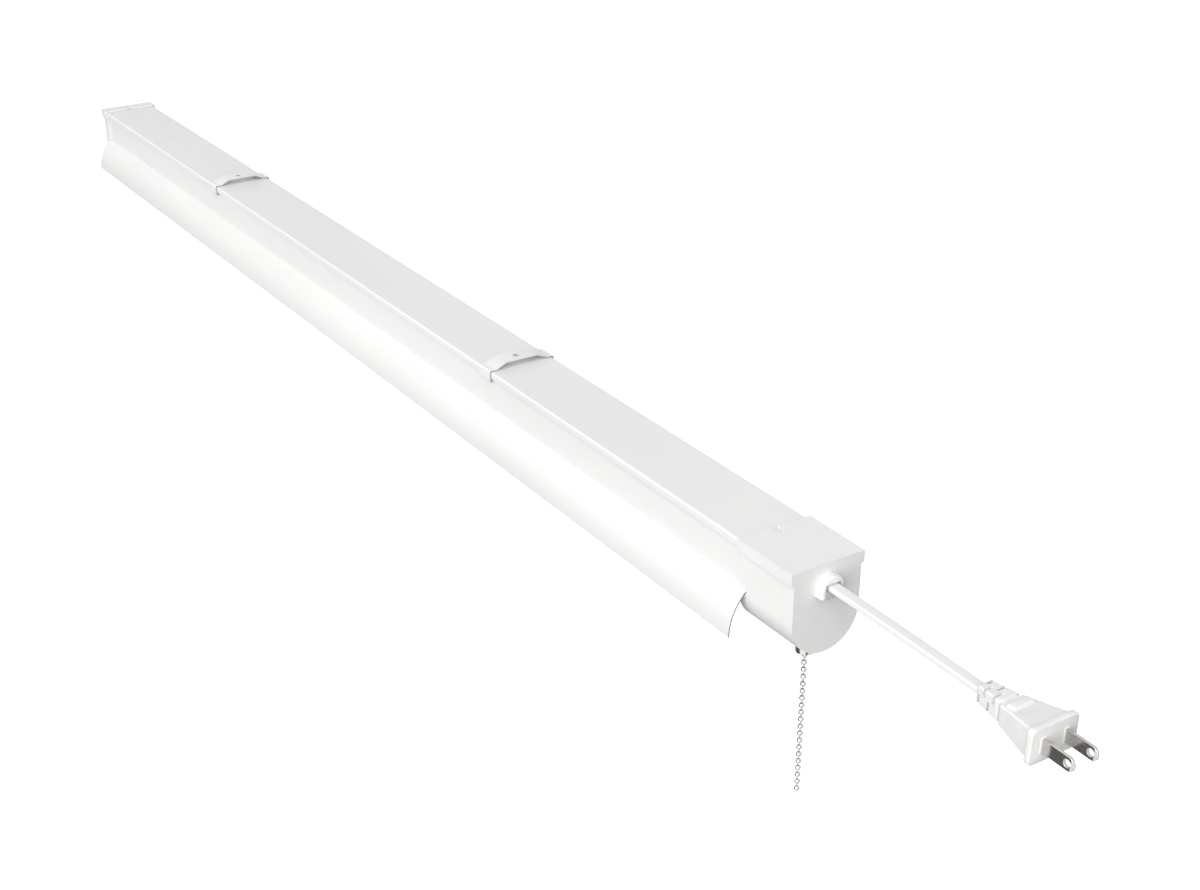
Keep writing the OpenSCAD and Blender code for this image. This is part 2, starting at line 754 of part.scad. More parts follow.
// Arched shell of the strain relief, with a neck in the wall and barbs behind it
module strain_relief_shell() {
    neck_x0 = near_x - cap_face_t - relief_in;
    barb_t = relief_shoulder;
    color("white") difference() {
        union() {
            hull() {
                along_x(near_x, relief_out - relief_bevel)
                    relief_outline(relief_half, relief_top_z, relief_low_z, $fn = 32);
                along_x(near_x, relief_out)
                    relief_outline(relief_half - relief_bevel, relief_top_z - relief_bevel,
                        relief_low_z, $fn = 32);
            }
            along_x(neck_x0, cap_face_t + relief_in + over)
                relief_outline(neck_half, relief_top_z - relief_shoulder, relief_low_z);
            for (s = [-1, 1])
                translate([neck_x0, s > 0 ? slot_half : -neck_half - barb_t, relief_low_z])
                    cube([relief_in - fit, neck_half + barb_t - slot_half, relief_h / 4]);
        }
        along_x(neck_x0 - over, cap_face_t + relief_in + relief_out + 2 * over)
            translate([-slot_half, relief_low_z - over])
                square([2 * slot_half, slot_top_z - relief_low_z + over]);
    }
}

// Wedge that presses the cord up into the arch
module strain_relief_wedge() {
    x0 = near_x - cap_face_t - relief_in;
    color("whitesmoke") along_x(x0, cap_face_t + relief_in + relief_out - relief_bevel)
        round_foot_outline(wedge_half, wedge_z, wedge_z - wedge_h, wedge_edge_r);
}

module power_cord() {
    color("white") tube(cord_route, cord_w / 2, cord_t / 2, 12);
}

// The plug's own frame starts at the cord's end, with X towards the blades
module at_plug() {
    translate(cord_end) rotate([0, plug_tilt, 0]) children();
}
groove_x = collar_len;
plug_x = groove_x + groove_len;
flange_x = plug_x + plug_len;
face_x = flange_x + flange_t;

// Thin slab with round corners, square to the plug's axis
module slab(x, w, h, t, r) {
    translate([x, 0, 0]) rotate([90, 0, 90]) linear_extrude(t) union() {
        square([w - 2 * r, h], center = true);
        square([w, h - 2 * r], center = true);
        for (a = [-1, 1], b = [-1, 1])
            translate([a * (w / 2 - r), b * (h / 2 - r)]) circle(r, $fn = 24);
    }
}

// Cut around one corner of the collar: a and b choose the side and the top or bottom
module collar_slot(k, a, b) {
    share = (k + 0.5) * slot_pitch / collar_len;
    w = (collar_w0 + (collar_w1 - collar_w0) * share) / 2;
    h = (collar_h0 + (collar_h1 - collar_h0) * share) / 2;
    bridge = slot_w / 6;
    x = (k + 0.5) * slot_pitch - slot_w / 2;
    scale([1, a, b]) {
        translate([x, bridge, h - slot_d]) cube([slot_w, w, 2 * slot_d]);
        translate([x, w - slot_d, bridge]) cube([slot_w, 2 * slot_d, h]);
    }
}

// Moulded plug with a slotted collar, finger grips and a flange
module plug_body() {
    sheet = slot_w / 4;
    color("white") at_plug() difference() {
        union() {
            difference() {
                hull() {
                    slab(0, collar_w0, collar_h0, sheet, plug_edge_r);
                    slab(collar_len - sheet, collar_w1, collar_h1, sheet, plug_edge_r);
                }
                for (k = [0 : 3]) {
                    side = k % 2 == 0 ? -1 : 1;
                    collar_slot(k, -1, side);
                    collar_slot(k, 1, -side);
                }
            }
            slab(groove_x - sheet, collar_w1 - slot_d, min(collar_h1, plug_h0),
                groove_len + 2 * sheet, plug_edge_r);
            hull() {
                slab(plug_x, plug_w0, plug_h0, sheet, plug_edge_r);
                slab(flange_x, plug_w1, plug_h1, sheet, plug_edge_r);
            }
            for (s = [-1, 1]) scale([1, 1, s]) grip_bar();
            hull() {
                slab(flange_x, flange_w - 2 * flange_bevel, flange_h - 2 * flange_bevel, flange_t,
                    flange_r);
                slab(flange_x + flange_bevel, flange_w, flange_h, flange_t - 2 * flange_bevel,
                    flange_r + flange_bevel);
            }
        }
        for (s = [-1, 1])
            translate([face_x - blade_root - fit, s * blade_gap / 2 - blade_t / 2 - fit / 2,
                -blade_h / 2 - fit / 2])
                cube([blade_root + fit + over, blade_t + fit, blade_h + fit]);
    }
}

// Raised bar across the plug's body for the fingers
function plug_half_h(x) = (plug_h0 + (plug_h1 - plug_h0) * (x - plug_x) / plug_len) / 2;
function plug_half_w(x) = (plug_w0 + (plug_w1 - plug_w0) * (x - plug_x) / plug_len) / 2;
module grip_bar() {
    x0 = plug_x + grip_start;
    x1 = x0 + grip_l;
    slope = grip_h;
    half = plug_half_w(x0) - 2 * plug_edge_r;
    translate([0, half, 0]) rotate([90, 0, 0]) linear_extrude(2 * half)
        polygon([
            [x0, 0], [x0, plug_half_h(x0) + grip_h], [x1 - slope, plug_half_h(x1) + grip_h],
            [x1, plug_half_h(x1)], [x1, 0]
        ]);
}

// Blade outline seen from the side, with a round tip
module blade_outline() {
    difference() {
        union() {
            translate([-blade_root, -blade_h / 2])
                square([blade_root + blade_len - blade_h / 2, blade_h]);
            translate([blade_len - blade_h / 2, 0]) circle(blade_h / 2);
        }
        translate([blade_len - blade_hole_in, 0]) circle(blade_hole_r);
    }
}

// Two flat blades with bevelled tips
module plug_blades() {
    color("silver") at_plug()
        for (s = [-1, 1]) translate([face_x, s * blade_gap / 2, 0]) intersection() {
            rotate([90, 0, 0]) translate([0, 0, -blade_t / 2]) linear_extrude(blade_t) blade_outline();
            translate([0, 0, -blade_h]) linear_extrude(2 * blade_h)
                polygon([
                    [-blade_root, -blade_t / 2], [blade_len - blade_bevel_l, -blade_t / 2],
                    [blade_len, -blade_tip_t / 2], [blade_len, blade_tip_t / 2],
                    [blade_len - blade_bevel_l, blade_t / 2], [-blade_root, blade_t / 2]
                ]);
        }
}

// Smooth curve that leaves one place in a given way and reaches another in a given way,
// with a clearance at both ends
function blend(a, b, c, d, u) = pow(1 - u, 3) * a + 3 * u * pow(1 - u, 2) * b
    + 3 * pow(u, 2) * (1 - u) * c + pow(u, 3) * d;
function curve(from, from_way, to, to_way, steps) =
    let (a = from + unit(from_way) * fit, d = to - unit(to_way) * fit)
    [for (k = [0 : steps]) blend(a, a + from_way, d - to_way, d, k / steps)];
function without_first(p) = [for (k = [1 : len(p) - 1]) p[k]];

// Places of the wires inside
cord_tail = cord_route[0];
core_y = cord_w / 4;
wire_y = driver_half / 2;
wire_z = cord_z + cord_t / 2;
terminal_x = switch_x - switch_l / 4;
terminal_y = 3 * switch_w / 8;
splice_x = near_rim_x - splice_len;
driver_wire_z = driver_top_z - 3 * wire_r;
wire_way = 6 * wire_r;
wire_sag = 4 * wire_r;

// The cord's two cores: one goes down to the switch, one runs to the splice
module cord_conductors() {
    color("dimgray") tube(curve(
        cord_tail - [0, core_y, 0], [-wire_way, 0, 0],
        [terminal_x, -core_y, switch_top_z], [0, 0, -wire_way], 10
    ), wire_r, wire_r, 8);
    color("white") tube(curve(
        cord_tail + [0, core_y, 0], [-wire_way, 0, 0],
        [splice_x + splice_len, wire_y, wire_z], [-wire_way, 0, 0], 8
    ), wire_r, wire_r, 8);
}

// In-line splice, waisted in two places where it is crimped
crimp_shares = [0.22, 0.28, 0.4, 0.46];
waist_share = 0.8;
module crimp_splice() {
    waist = splice_r * waist_share;
    half = [
        [splice_r, crimp_shares[0]], [waist, crimp_shares[1]],
        [waist, crimp_shares[2]], [splice_r, crimp_shares[3]]
    ];
    color("lightsteelblue") translate([splice_x, wire_y, wire_z]) rotate([0, 90, 0])
        rotate_extrude() polygon([
            [0, 0], [splice_r, 0],
            for (q = half) [q[0], q[1] * splice_len],
            for (k = [3 : -1 : 0]) [half[k][0], (1 - half[k][1]) * splice_len],
            [splice_r, splice_len], [0, splice_len]
        ]);
}

// Leads from the splice and from the switch to the driver's near end
lead_way = (splice_x - driver_x1) / 3;
module neutral_lead() {
    color("white") tube(curve(
        [splice_x, wire_y, wire_z], [-lead_way, 0, 0],
        [driver_x1, wire_y, driver_wire_z], [-lead_way, 0, 0], 10
    ), wire_r, wire_r, 8);
}
module switch_lead() {
    pass = [near_rim_x, -wire_y, wire_z - wire_sag];
    color("dimgray") tube(concat(
        curve([terminal_x, -terminal_y, switch_top_z], [0, 0, 2 * wire_way], pass,
            [-2 * wire_way, 0, 0], 10),
        without_first(curve(pass, [-lead_way, 0, 0], [driver_x1, -wire_y, driver_wire_z],
            [-lead_way, 0, 0], 8))
    ), wire_r, wire_r, 8);
}

// Two thin leads from the driver, down beside the board and under its edge
lead_reach = lamp_hole_y - board_half + chip_edge / 2;
module led_leads() {
    r = lamp_wire_r;
    under_z = board_z - r - fit;
    for (s = [-1, 1]) {
        x = lamp_hole_x + s * (r + fit / 2);
        y = lamp_hole_y;
        way = 3 * r;
        color(s > 0 ? "firebrick" : "dimgray") tube(concat(
            curve([driver_x0, wire_y, driver_wire_z - 2 * s * r], [-wire_way, 0, 0],
                [x, y, tray_top_z + way], [0, 0, -wire_way], 8),
            [[x, y, tray_top_z], [x, y, board_z + r]],
            without_first(curve([x, y, board_z + r], [0, 0, -way], [x, y - lead_reach, under_z],
                [0, -way, 0], 5))
        ), r, r, 6, [1, 1, 0]);
    }
}

// Switch body with a round chamber open to the barrel
module switch_body() {
    color("#3a3a3c") difference() {
        translate([switch_x - switch_l / 2, -switch_w / 2, switch_z])
            cube([switch_l, switch_w, switch_top_z - switch_z]);
        translate([switch_x, 0, switch_z - over])
            cylinder(r = chamber_r, h = chamber_top_z - switch_z + over);
    }
}

// Threaded barrel with its flange in the switch
module switch_barrel() {
    color("silver") on_switch_axis() difference() {
        union() {
            translate([0, barrel_z]) square([barrel_r, flange_top_z - barrel_z]);
            translate([0, switch_z]) square([chamber_r - fit, barrel_flange_t]);
        }
        translate([0, barrel_z - over])
            square([barrel_bore_r, flange_top_z - barrel_z + 2 * over]);
    }
}

// Ring nut under the cap, with a turned-in rim around the chain
module barrel_nut() {
    color("silver") on_switch_axis() polygon([
        [barrel_r + fit, bottom_z], [nut_r, bottom_z], [nut_r, nut_z + nut_bevel],
        [nut_r - nut_bevel, nut_z], [barrel_bore_r + nut_bevel / 2, nut_z],
        [barrel_bore_r, nut_z + nut_rim_t / 2], [barrel_bore_r, nut_z + nut_rim_t],
        [barrel_r + fit, nut_z + nut_rim_t]
    ]);
}

// Pull rod: head in the chamber, bead inside the barrel and link to the first outer bead
module pull_rod() {
    link_z = first_bead_z + bead_r + chain_gap;
    color("silver") on_switch_axis() union() {
        translate([0, rod_head_z]) square([rod_head_r, rod_head_t]);
        translate([0, link_z]) square([link_r, rod_head_z - link_z + rod_head_t / 2]);
        intersection() {
            translate([0, inner_bead_z]) circle(bead_r);
            translate([0, inner_bead_z - bead_r]) square([bead_r, 2 * bead_r]);
        }
    }
}

// Return spring around the rod, between the barrel's flange and the rod's head
spring_rings = 8;
spring_r = (barrel_bore_r + rod_head_r) / 2 + spring_wire_r;
spring_z0 = flange_top_z + spring_wire_r + fit;
spring_z1 = rod_head_z - spring_wire_r - fit;
module return_spring() {
    n = spring_turns * spring_rings;
    sides = 6;
    pitch = (spring_z1 - spring_z0) / spring_turns;
    lean = atan(pitch / (2 * PI * spring_r));
    points = [
        for (i = [0 : n], k = [0 : sides - 1])
            let (a = 360 * i / spring_rings, b = 360 * k / sides)
            let (r = spring_r + spring_wire_r * cos(b), up = spring_wire_r * sin(b))
            [
                switch_x + r * cos(a) + up * sin(lean) * sin(a),
                r * sin(a) - up * sin(lean) * cos(a),
                spring_z0 + pitch * i / spring_rings + up * cos(lean)
            ]
    ];
    side_faces = [
        for (i = [0 : n - 1], k = [0 : sides - 1])
            let (a = i * sides + k, c = i * sides + (k + 1) % sides)
            each [[a, c, a + sides], [c, c + sides, a + sides]]
    ];
    start_face = [for (k = [sides - 1 : -1 : 0]) k];
    end_face = [for (k = [0 : sides - 1]) n * sides + k];
    color("silver") polyhedron(points, concat(side_faces, [start_face, end_face]));
}

// First bead outside the nut, on which the rest of the chain swings
module chain_top_bead() {
    color("silver") translate([switch_x, 0, first_bead_z]) sphere(bead_r);
}

// The hanging chain: beads on thin links
module ball_chain() {
    last_z = first_bead_z - bead_count * bead_pitch;
    link_top_z = first_bead_z - bead_r - chain_gap;
    color("silver") on_switch_axis() union() {
        translate([0, last_z]) square([link_r, link_top_z - last_z]);
        intersection() {
            for (k = [1 : bead_count]) translate([0, first_bead_z - k * bead_pitch]) circle(bead_r);
            translate([0, last_z - bead_r]) square([bead_r, first_bead_z - last_z]);
        }
    }
}

// Spring clip: raised bridge with a hole, sloped feet and hooks under the cover's lips
clip_foot_z = cover_z + clip_gap + clip_t;
clip_half = cover_half + clip_gap + clip_t;
foot_start = clip_half - foot_l;
hook_top_z = lip_z - clip_gap;
curl_z = hook_top_z - hook_h;
foot_slope = atan(-clip_foot_z / (foot_start - bridge_half));

// Filled half of a clip, drawn in by a depth on every side, down to a height
module clip_fill(depth, low_z) {
    corner = clip_half - clip_bend_r;
    shift = depth * tan(foot_slope / 2);
    along_x(-clip_w / 2 - depth, clip_w + 2 * depth) polygon([
        [-over, -depth], [bridge_half - shift, -depth],
        [foot_start - shift, clip_foot_z - depth], [corner, clip_foot_z - depth],
        [corner, low_z], [-over, low_z]
    ]);
    along_x(-clip_w / 2 - depth, clip_w + 2 * depth)
        translate([corner - clip_bend_r, low_z])
            square([clip_half - depth - corner + clip_bend_r, clip_foot_z - clip_bend_r - low_z]);
    along_x(-clip_w / 2 - depth, clip_w + 2 * depth)
        translate([corner, clip_foot_z - clip_bend_r]) circle(clip_bend_r - depth);
}

// The curl at the foot of a clip's leg
module curl_fill(depth) {
    corner = clip_half - clip_bend_r;
    r = clip_bend_r - depth;
    along_x(-clip_w / 2 - depth, clip_w + 2 * depth) translate([corner, curl_z]) circle(r);
    along_x(-clip_w / 2 - depth, clip_w + 2 * depth)
        translate([corner - r, curl_z]) square([2 * r, hook_h + depth]);
}

module clip(x) {
    color("white") translate([x, 0, 0]) difference() {
        for (s = [0, 1]) mirror([0, s, 0]) difference() {
            union() {
                clip_fill(0, curl_z);
                curl_fill(0);
            }
            clip_fill(clip_t, hook_top_z);
            curl_fill(clip_t);
            along_x(-clip_w / 2 - over, clip_w + 2 * over)
                translate([-2 * over, curl_z - clip_bend_r - over])
                    square([clip_half - 2 * clip_bend_r + 2 * over,
                        hook_top_z + clip_bend_r - curl_z + 2 * over]);
        }
        translate([0, 0, -clip_t - over]) cylinder(r = clip_hole_r, h = clip_t + 2 * over);
    }
}
module near_clip() { clip(clip_spacing / 2); }
module far_clip() { clip(-clip_spacing / 2); }

top_cover();
left_side_panel();
right_side_panel();
left_wing();
right_wing();
gear_tray();
diffuser_lens();
led_board();
led_chips();
board_screws();
led_driver();
driver_screws();
cord_end_cap();
plain_end_cap();
strain_relief_shell();
strain_relief_wedge();
power_cord();
plug_body();
plug_blades();
cord_conductors();
crimp_splice();
neutral_lead();
switch_lead();
led_leads();
switch_body();
switch_barrel();
barrel_nut();
pull_rod();
return_spring();
chain_top_bead();
ball_chain();
near_clip();
far_clip();
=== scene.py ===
import math

import bmesh
import bpy
import numpy as np
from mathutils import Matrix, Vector


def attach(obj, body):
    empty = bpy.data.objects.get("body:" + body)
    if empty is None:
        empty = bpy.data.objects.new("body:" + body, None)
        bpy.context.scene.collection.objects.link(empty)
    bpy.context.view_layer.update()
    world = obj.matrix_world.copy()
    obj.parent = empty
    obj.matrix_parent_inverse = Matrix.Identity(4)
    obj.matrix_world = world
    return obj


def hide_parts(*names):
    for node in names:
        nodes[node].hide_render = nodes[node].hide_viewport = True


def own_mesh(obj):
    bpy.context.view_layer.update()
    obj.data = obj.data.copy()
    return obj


mm = 0.001
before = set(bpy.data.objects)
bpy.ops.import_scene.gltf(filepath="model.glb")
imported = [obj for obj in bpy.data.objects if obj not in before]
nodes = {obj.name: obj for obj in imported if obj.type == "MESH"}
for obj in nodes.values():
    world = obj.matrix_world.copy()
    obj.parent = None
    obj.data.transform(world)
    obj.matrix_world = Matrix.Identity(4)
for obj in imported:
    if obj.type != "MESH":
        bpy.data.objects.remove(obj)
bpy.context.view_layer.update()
print("frame loaded,", len(nodes), "nodes")

cameraView = {
    "place": (980.2, -454.8, 386.5),  # mm, fitted to the edges in the photograph
    "azimuth": 56.955,
    "elevation": 26.022,
    "lens": 53.24,
    "sensor": 36,
    "sees": (0.01, 60),  # m, nearest and farthest
}


def makeCamera(view):
    data = bpy.data.cameras.new("camera")
    data.lens, data.sensor_width, data.sensor_fit = view["lens"], view["sensor"], "HORIZONTAL"
    data.clip_start, data.clip_end = view["sees"]
    camera = bpy.data.objects.new("camera", data)
    bpy.context.scene.collection.objects.link(camera)
    a, e = math.radians(view["azimuth"]), math.radians(view["elevation"])
    ahead = Vector((-math.sin(a) * math.cos(e), math.cos(a) * math.cos(e), -math.sin(e)))
    camera.location = Vector(view["place"]) * mm
    camera.rotation_mode = "QUATERNION"
    camera.rotation_quaternion = ahead.to_track_quat("-Z", "Y")
    bpy.context.scene.camera = camera


makeCamera(cameraView)
print("camera placed")


fineness = {
    "join": 0.002,  # mm; points of a computed surface nearer than this are one
    "joinCopy": 0.003,  # mm; the same in a copy of a CAD node
    "flat": 0.6,  # degrees; neighbouring CAD faces that turn less than this become one
    "sharp": 40,  # degrees; an edge that turns more than this stays sharp
    "sharpCopy": 30,
    "mostRound": 0.49,  # share of a side that the round of one corner may take
}


def gridQuads(rows, cols, copies=1):
    # quads between neighbouring rows of a grid whose last column joins the first,
    # for one grid or for several that follow each other in the list of points
    i = np.arange(rows - 1)[:, None]
    j = np.arange(cols)[None, :]
    k = (j + 1) % cols
    quads = np.stack([i * cols + j, i * cols + k, (i + 1) * cols + k, (i + 1) * cols + j], -1)
    first = np.arange(copies)[:, None, None] * rows * cols
    return (quads.reshape(1, -1, 4) + first).reshape(-1, 4)


def gridEnds(rows, cols):
    # the first and the last row of such a grid, as the faces that close it
    return [range(cols), range((rows - 1) * cols, rows * cols)]


def finishedObject(name, mesh, join, sharp):
    # doubles merged, normals turned outwards, smooth except over edges sharper than sharp
    bm = bmesh.new()
    bm.from_mesh(mesh)
    bmesh.ops.remove_doubles(bm, verts=bm.verts, dist=join * mm)
    bmesh.ops.dissolve_degenerate(bm, edges=bm.edges, dist=join * mm / 4)
    bmesh.ops.recalc_face_normals(bm, faces=bm.faces)
    bm.to_mesh(mesh)
    bm.free()
    mesh.shade_smooth()
    mesh.set_sharp_from_angle(angle=math.radians(sharp))
    piece = bpy.data.objects.new(name, mesh)
    bpy.context.scene.collection.objects.link(piece)
    return piece


def surface(name, points, quads, fills=(), sharp=fineness["sharp"]):
    # points in mm, quads as rows of four, fills as loops that one face closes
    mesh = bpy.data.meshes.new(name)
    faces = np.asarray(quads).tolist() + [[int(k) for k in loop] for loop in fills]
    mesh.from_pydata((np.asarray(points).reshape(-1, 3) * mm).tolist(), [], faces)
    return finishedObject(name, mesh, fineness["join"], sharp)


def settle(piece, body, slot, material, *replaced):
    piece.data.materials.clear()
    piece.data.materials.append(material)
    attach(piece, body)
    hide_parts(*replaced)
    return piece


def softCopy(node, name, radius, segments=2):
    # copy of a CAD node: doubles merged, flat faces joined, every sharp edge rounded by radius
    mesh = nodes[node].data.copy()
    mesh.name = name
    bm = bmesh.new()
    bm.from_mesh(mesh)
    bmesh.ops.remove_doubles(bm, verts=bm.verts, dist=fineness["joinCopy"] * mm)
    flat, sharp = math.radians(fineness["flat"]), fineness["sharpCopy"]
    bmesh.ops.dissolve_limit(bm, angle_limit=flat, verts=bm.verts, edges=bm.edges)
    bm.to_mesh(mesh)
    bm.free()
    piece = finishedObject(name, mesh, fineness["joinCopy"], sharp)
    if radius:
        bevel = piece.modifiers.new("edgeRound", "BEVEL")
        bevel.width, bevel.segments = radius * mm, segments
        bevel.limit_method, bevel.angle_limit = "ANGLE", math.radians(sharp)
        bevel.miter_outer = "MITER_ARC"
        level = piece.modifiers.new("flatsStayFlat", "WEIGHTED_NORMAL")
        level.keep_sharp = True
    return piece


def roundCorners(corners, radius, steps=5):
    # outline whose corners are cut back by radius and bridged by a curve that starts and ends
    # along the sides: (1-u)^2 of the first point, 2u(1-u) of the corner, u^2 of the last
    p = np.asarray(corners, float)
    before, after = np.roll(p, 1, axis=0) - p, np.roll(p, -1, axis=0) - p
    back = np.linalg.norm(before, axis=1, keepdims=True)
    on = np.linalg.norm(after, axis=1, keepdims=True)
    most = fineness["mostRound"] * np.minimum(back, on)
    r = np.minimum(np.broadcast_to(radius, len(p))[:, None], most)
    a, b = p + before / back * r, p + after / on * r
    u = np.linspace(0, 1, steps)[None, :, None]
    curve = (1 - u) ** 2 * a[:, None] + 2 * u * (1 - u) * p[:, None] + u**2 * b[:, None]
    return curve.reshape(-1, p.shape[1])


def turned(name, outline, x, drops=(0,), sides=32, sharp=fineness["sharp"]):
    # a closed outline of (radius, height) points turned round the upright axis at x, once for
    # each drop in height
    outline = np.vstack([outline, outline[:1]])
    a = np.linspace(0, 2 * math.pi, sides, endpoint=False)
    r = outline[None, :, :1]
    z = outline[None, :, 1:] - np.reshape(drops, (-1, 1, 1))
    points = np.stack([x + r * np.cos(a) + 0 * z, r * np.sin(a) + 0 * z, z + 0 * a], -1)
    return surface(name, points, gridQuads(len(outline), sides, len(points)), sharp=sharp)


def joined(name, grids, sharp):
    # several grids, each a tube of rings closed at both ends, made into one piece
    points, quads, fills, first = [], [], [], 0
    for grid in grids:
        n, m = grid.shape[:2]
        points.append(grid.reshape(-1, 3))
        quads.append(gridQuads(n, m) + first)
        fills += [np.array(loop) + first for loop in gridEnds(n, m)]
        first += n * m
    return surface(name, np.vstack(points), np.vstack(quads), fills, sharp)


def tube(name, grid, sharp=fineness["sharp"]):
    # a piece of one such grid
    return joined(name, [grid], sharp)


def colour(code):
    # sRGB hex turned to linear
    c = np.array([int(code[k:k + 2], 16) for k in (1, 3, 5)]) / 255
    c = np.where(c <= 0.04045, c / 12.92, ((c + 0.055) / 1.055) ** 2.4)
    return (*map(float, c), 1.0)


def addNode(tree, kind, inputs=None, **settings):
    node = tree.nodes.new(kind)
    for key, value in settings.items():
        setattr(node, key, value)
    for key, value in (inputs or {}).items():
        if isinstance(value, bpy.types.NodeSocket):
            tree.links.new(value, node.inputs[key])
        else:
            node.inputs[key].default_value = value
    return node


def emptyTree(owner):
    # node tree of a material or a world, with nothing in it
    owner.use_nodes = True
    owner.node_tree.nodes.clear()
    return owner.node_tree


def makeFinish(name, look):
    # tone, gloss and bump follow three noises on Object coordinates; each is given as the size
    # of its features in mm, its detail and how far they are stretched along X, Y and Z; span is
    # where nearly all of a noise's values lie, and it is widened to run from 0 to 1
    span = {1: 0.35, 2: 0.65}
    material = bpy.data.materials.new(name)
    tree = emptyTree(material)
    place = addNode(tree, "ShaderNodeTexCoord")
    noise = {}
    for use in ("tone", "gloss", "bump"):
        size, detail, stretch = look[use]
        spot = addNode(tree, "ShaderNodeMapping", {0: place.outputs["Object"],
                       "Scale": tuple(1 / s for s in stretch)})
        noise[use] = addNode(tree, "ShaderNodeTexNoise", {"Vector": spot.outputs[0],
                             "Scale": 1 / (size * mm), "Detail": detail}).outputs[0]
    mix = addNode(tree, "ShaderNodeMapRange", {0: noise["tone"], **span})
    first, second = map(colour, look["colours"])
    tone = addNode(tree, "ShaderNodeMix", {0: mix.outputs[0], 6: first, 7: second},
                   data_type="RGBA")
    if "cutEdgeShade" in look:
        # a face that looks within 60 degrees of X, where |normal x| is over 0.5, is painted the
        # given grey:
        # painted shade on edges and hole walls that look along X, on the wings together with the
        # bare steel of their cut ends
        facing = addNode(tree, "ShaderNodeSeparateXYZ", {0: place.outputs["Normal"]})
        along = addNode(tree, "ShaderNodeMath", {0: facing.outputs[0]}, operation="ABSOLUTE")
        cut = addNode(tree, "ShaderNodeMath", {0: along.outputs[0], 1: 0.5},
                      operation="GREATER_THAN")
        tone = addNode(tree, "ShaderNodeMix", {0: cut.outputs[0], 6: tone.outputs[2],
                       7: colour(look["cutEdgeShade"])}, data_type="RGBA")
    dull = addNode(tree, "ShaderNodeMapRange", {0: noise["gloss"], **span,
                   3: look["rough"][0], 4: look["rough"][1]})
    bump = addNode(tree, "ShaderNodeBump", {"Height": noise["bump"],
                   "Distance": look["depth"] * mm, "Strength": look["strength"]})
    shader = addNode(tree, "ShaderNodeBsdfPrincipled", {"Base Color": tone.outputs[2],
                     "Roughness": dull.outputs[0], "Normal": bump.outputs[0], **look["fixed"]})
    addNode(tree, "ShaderNodeOutputMaterial", {"Surface": shader.outputs[0]})
    return material


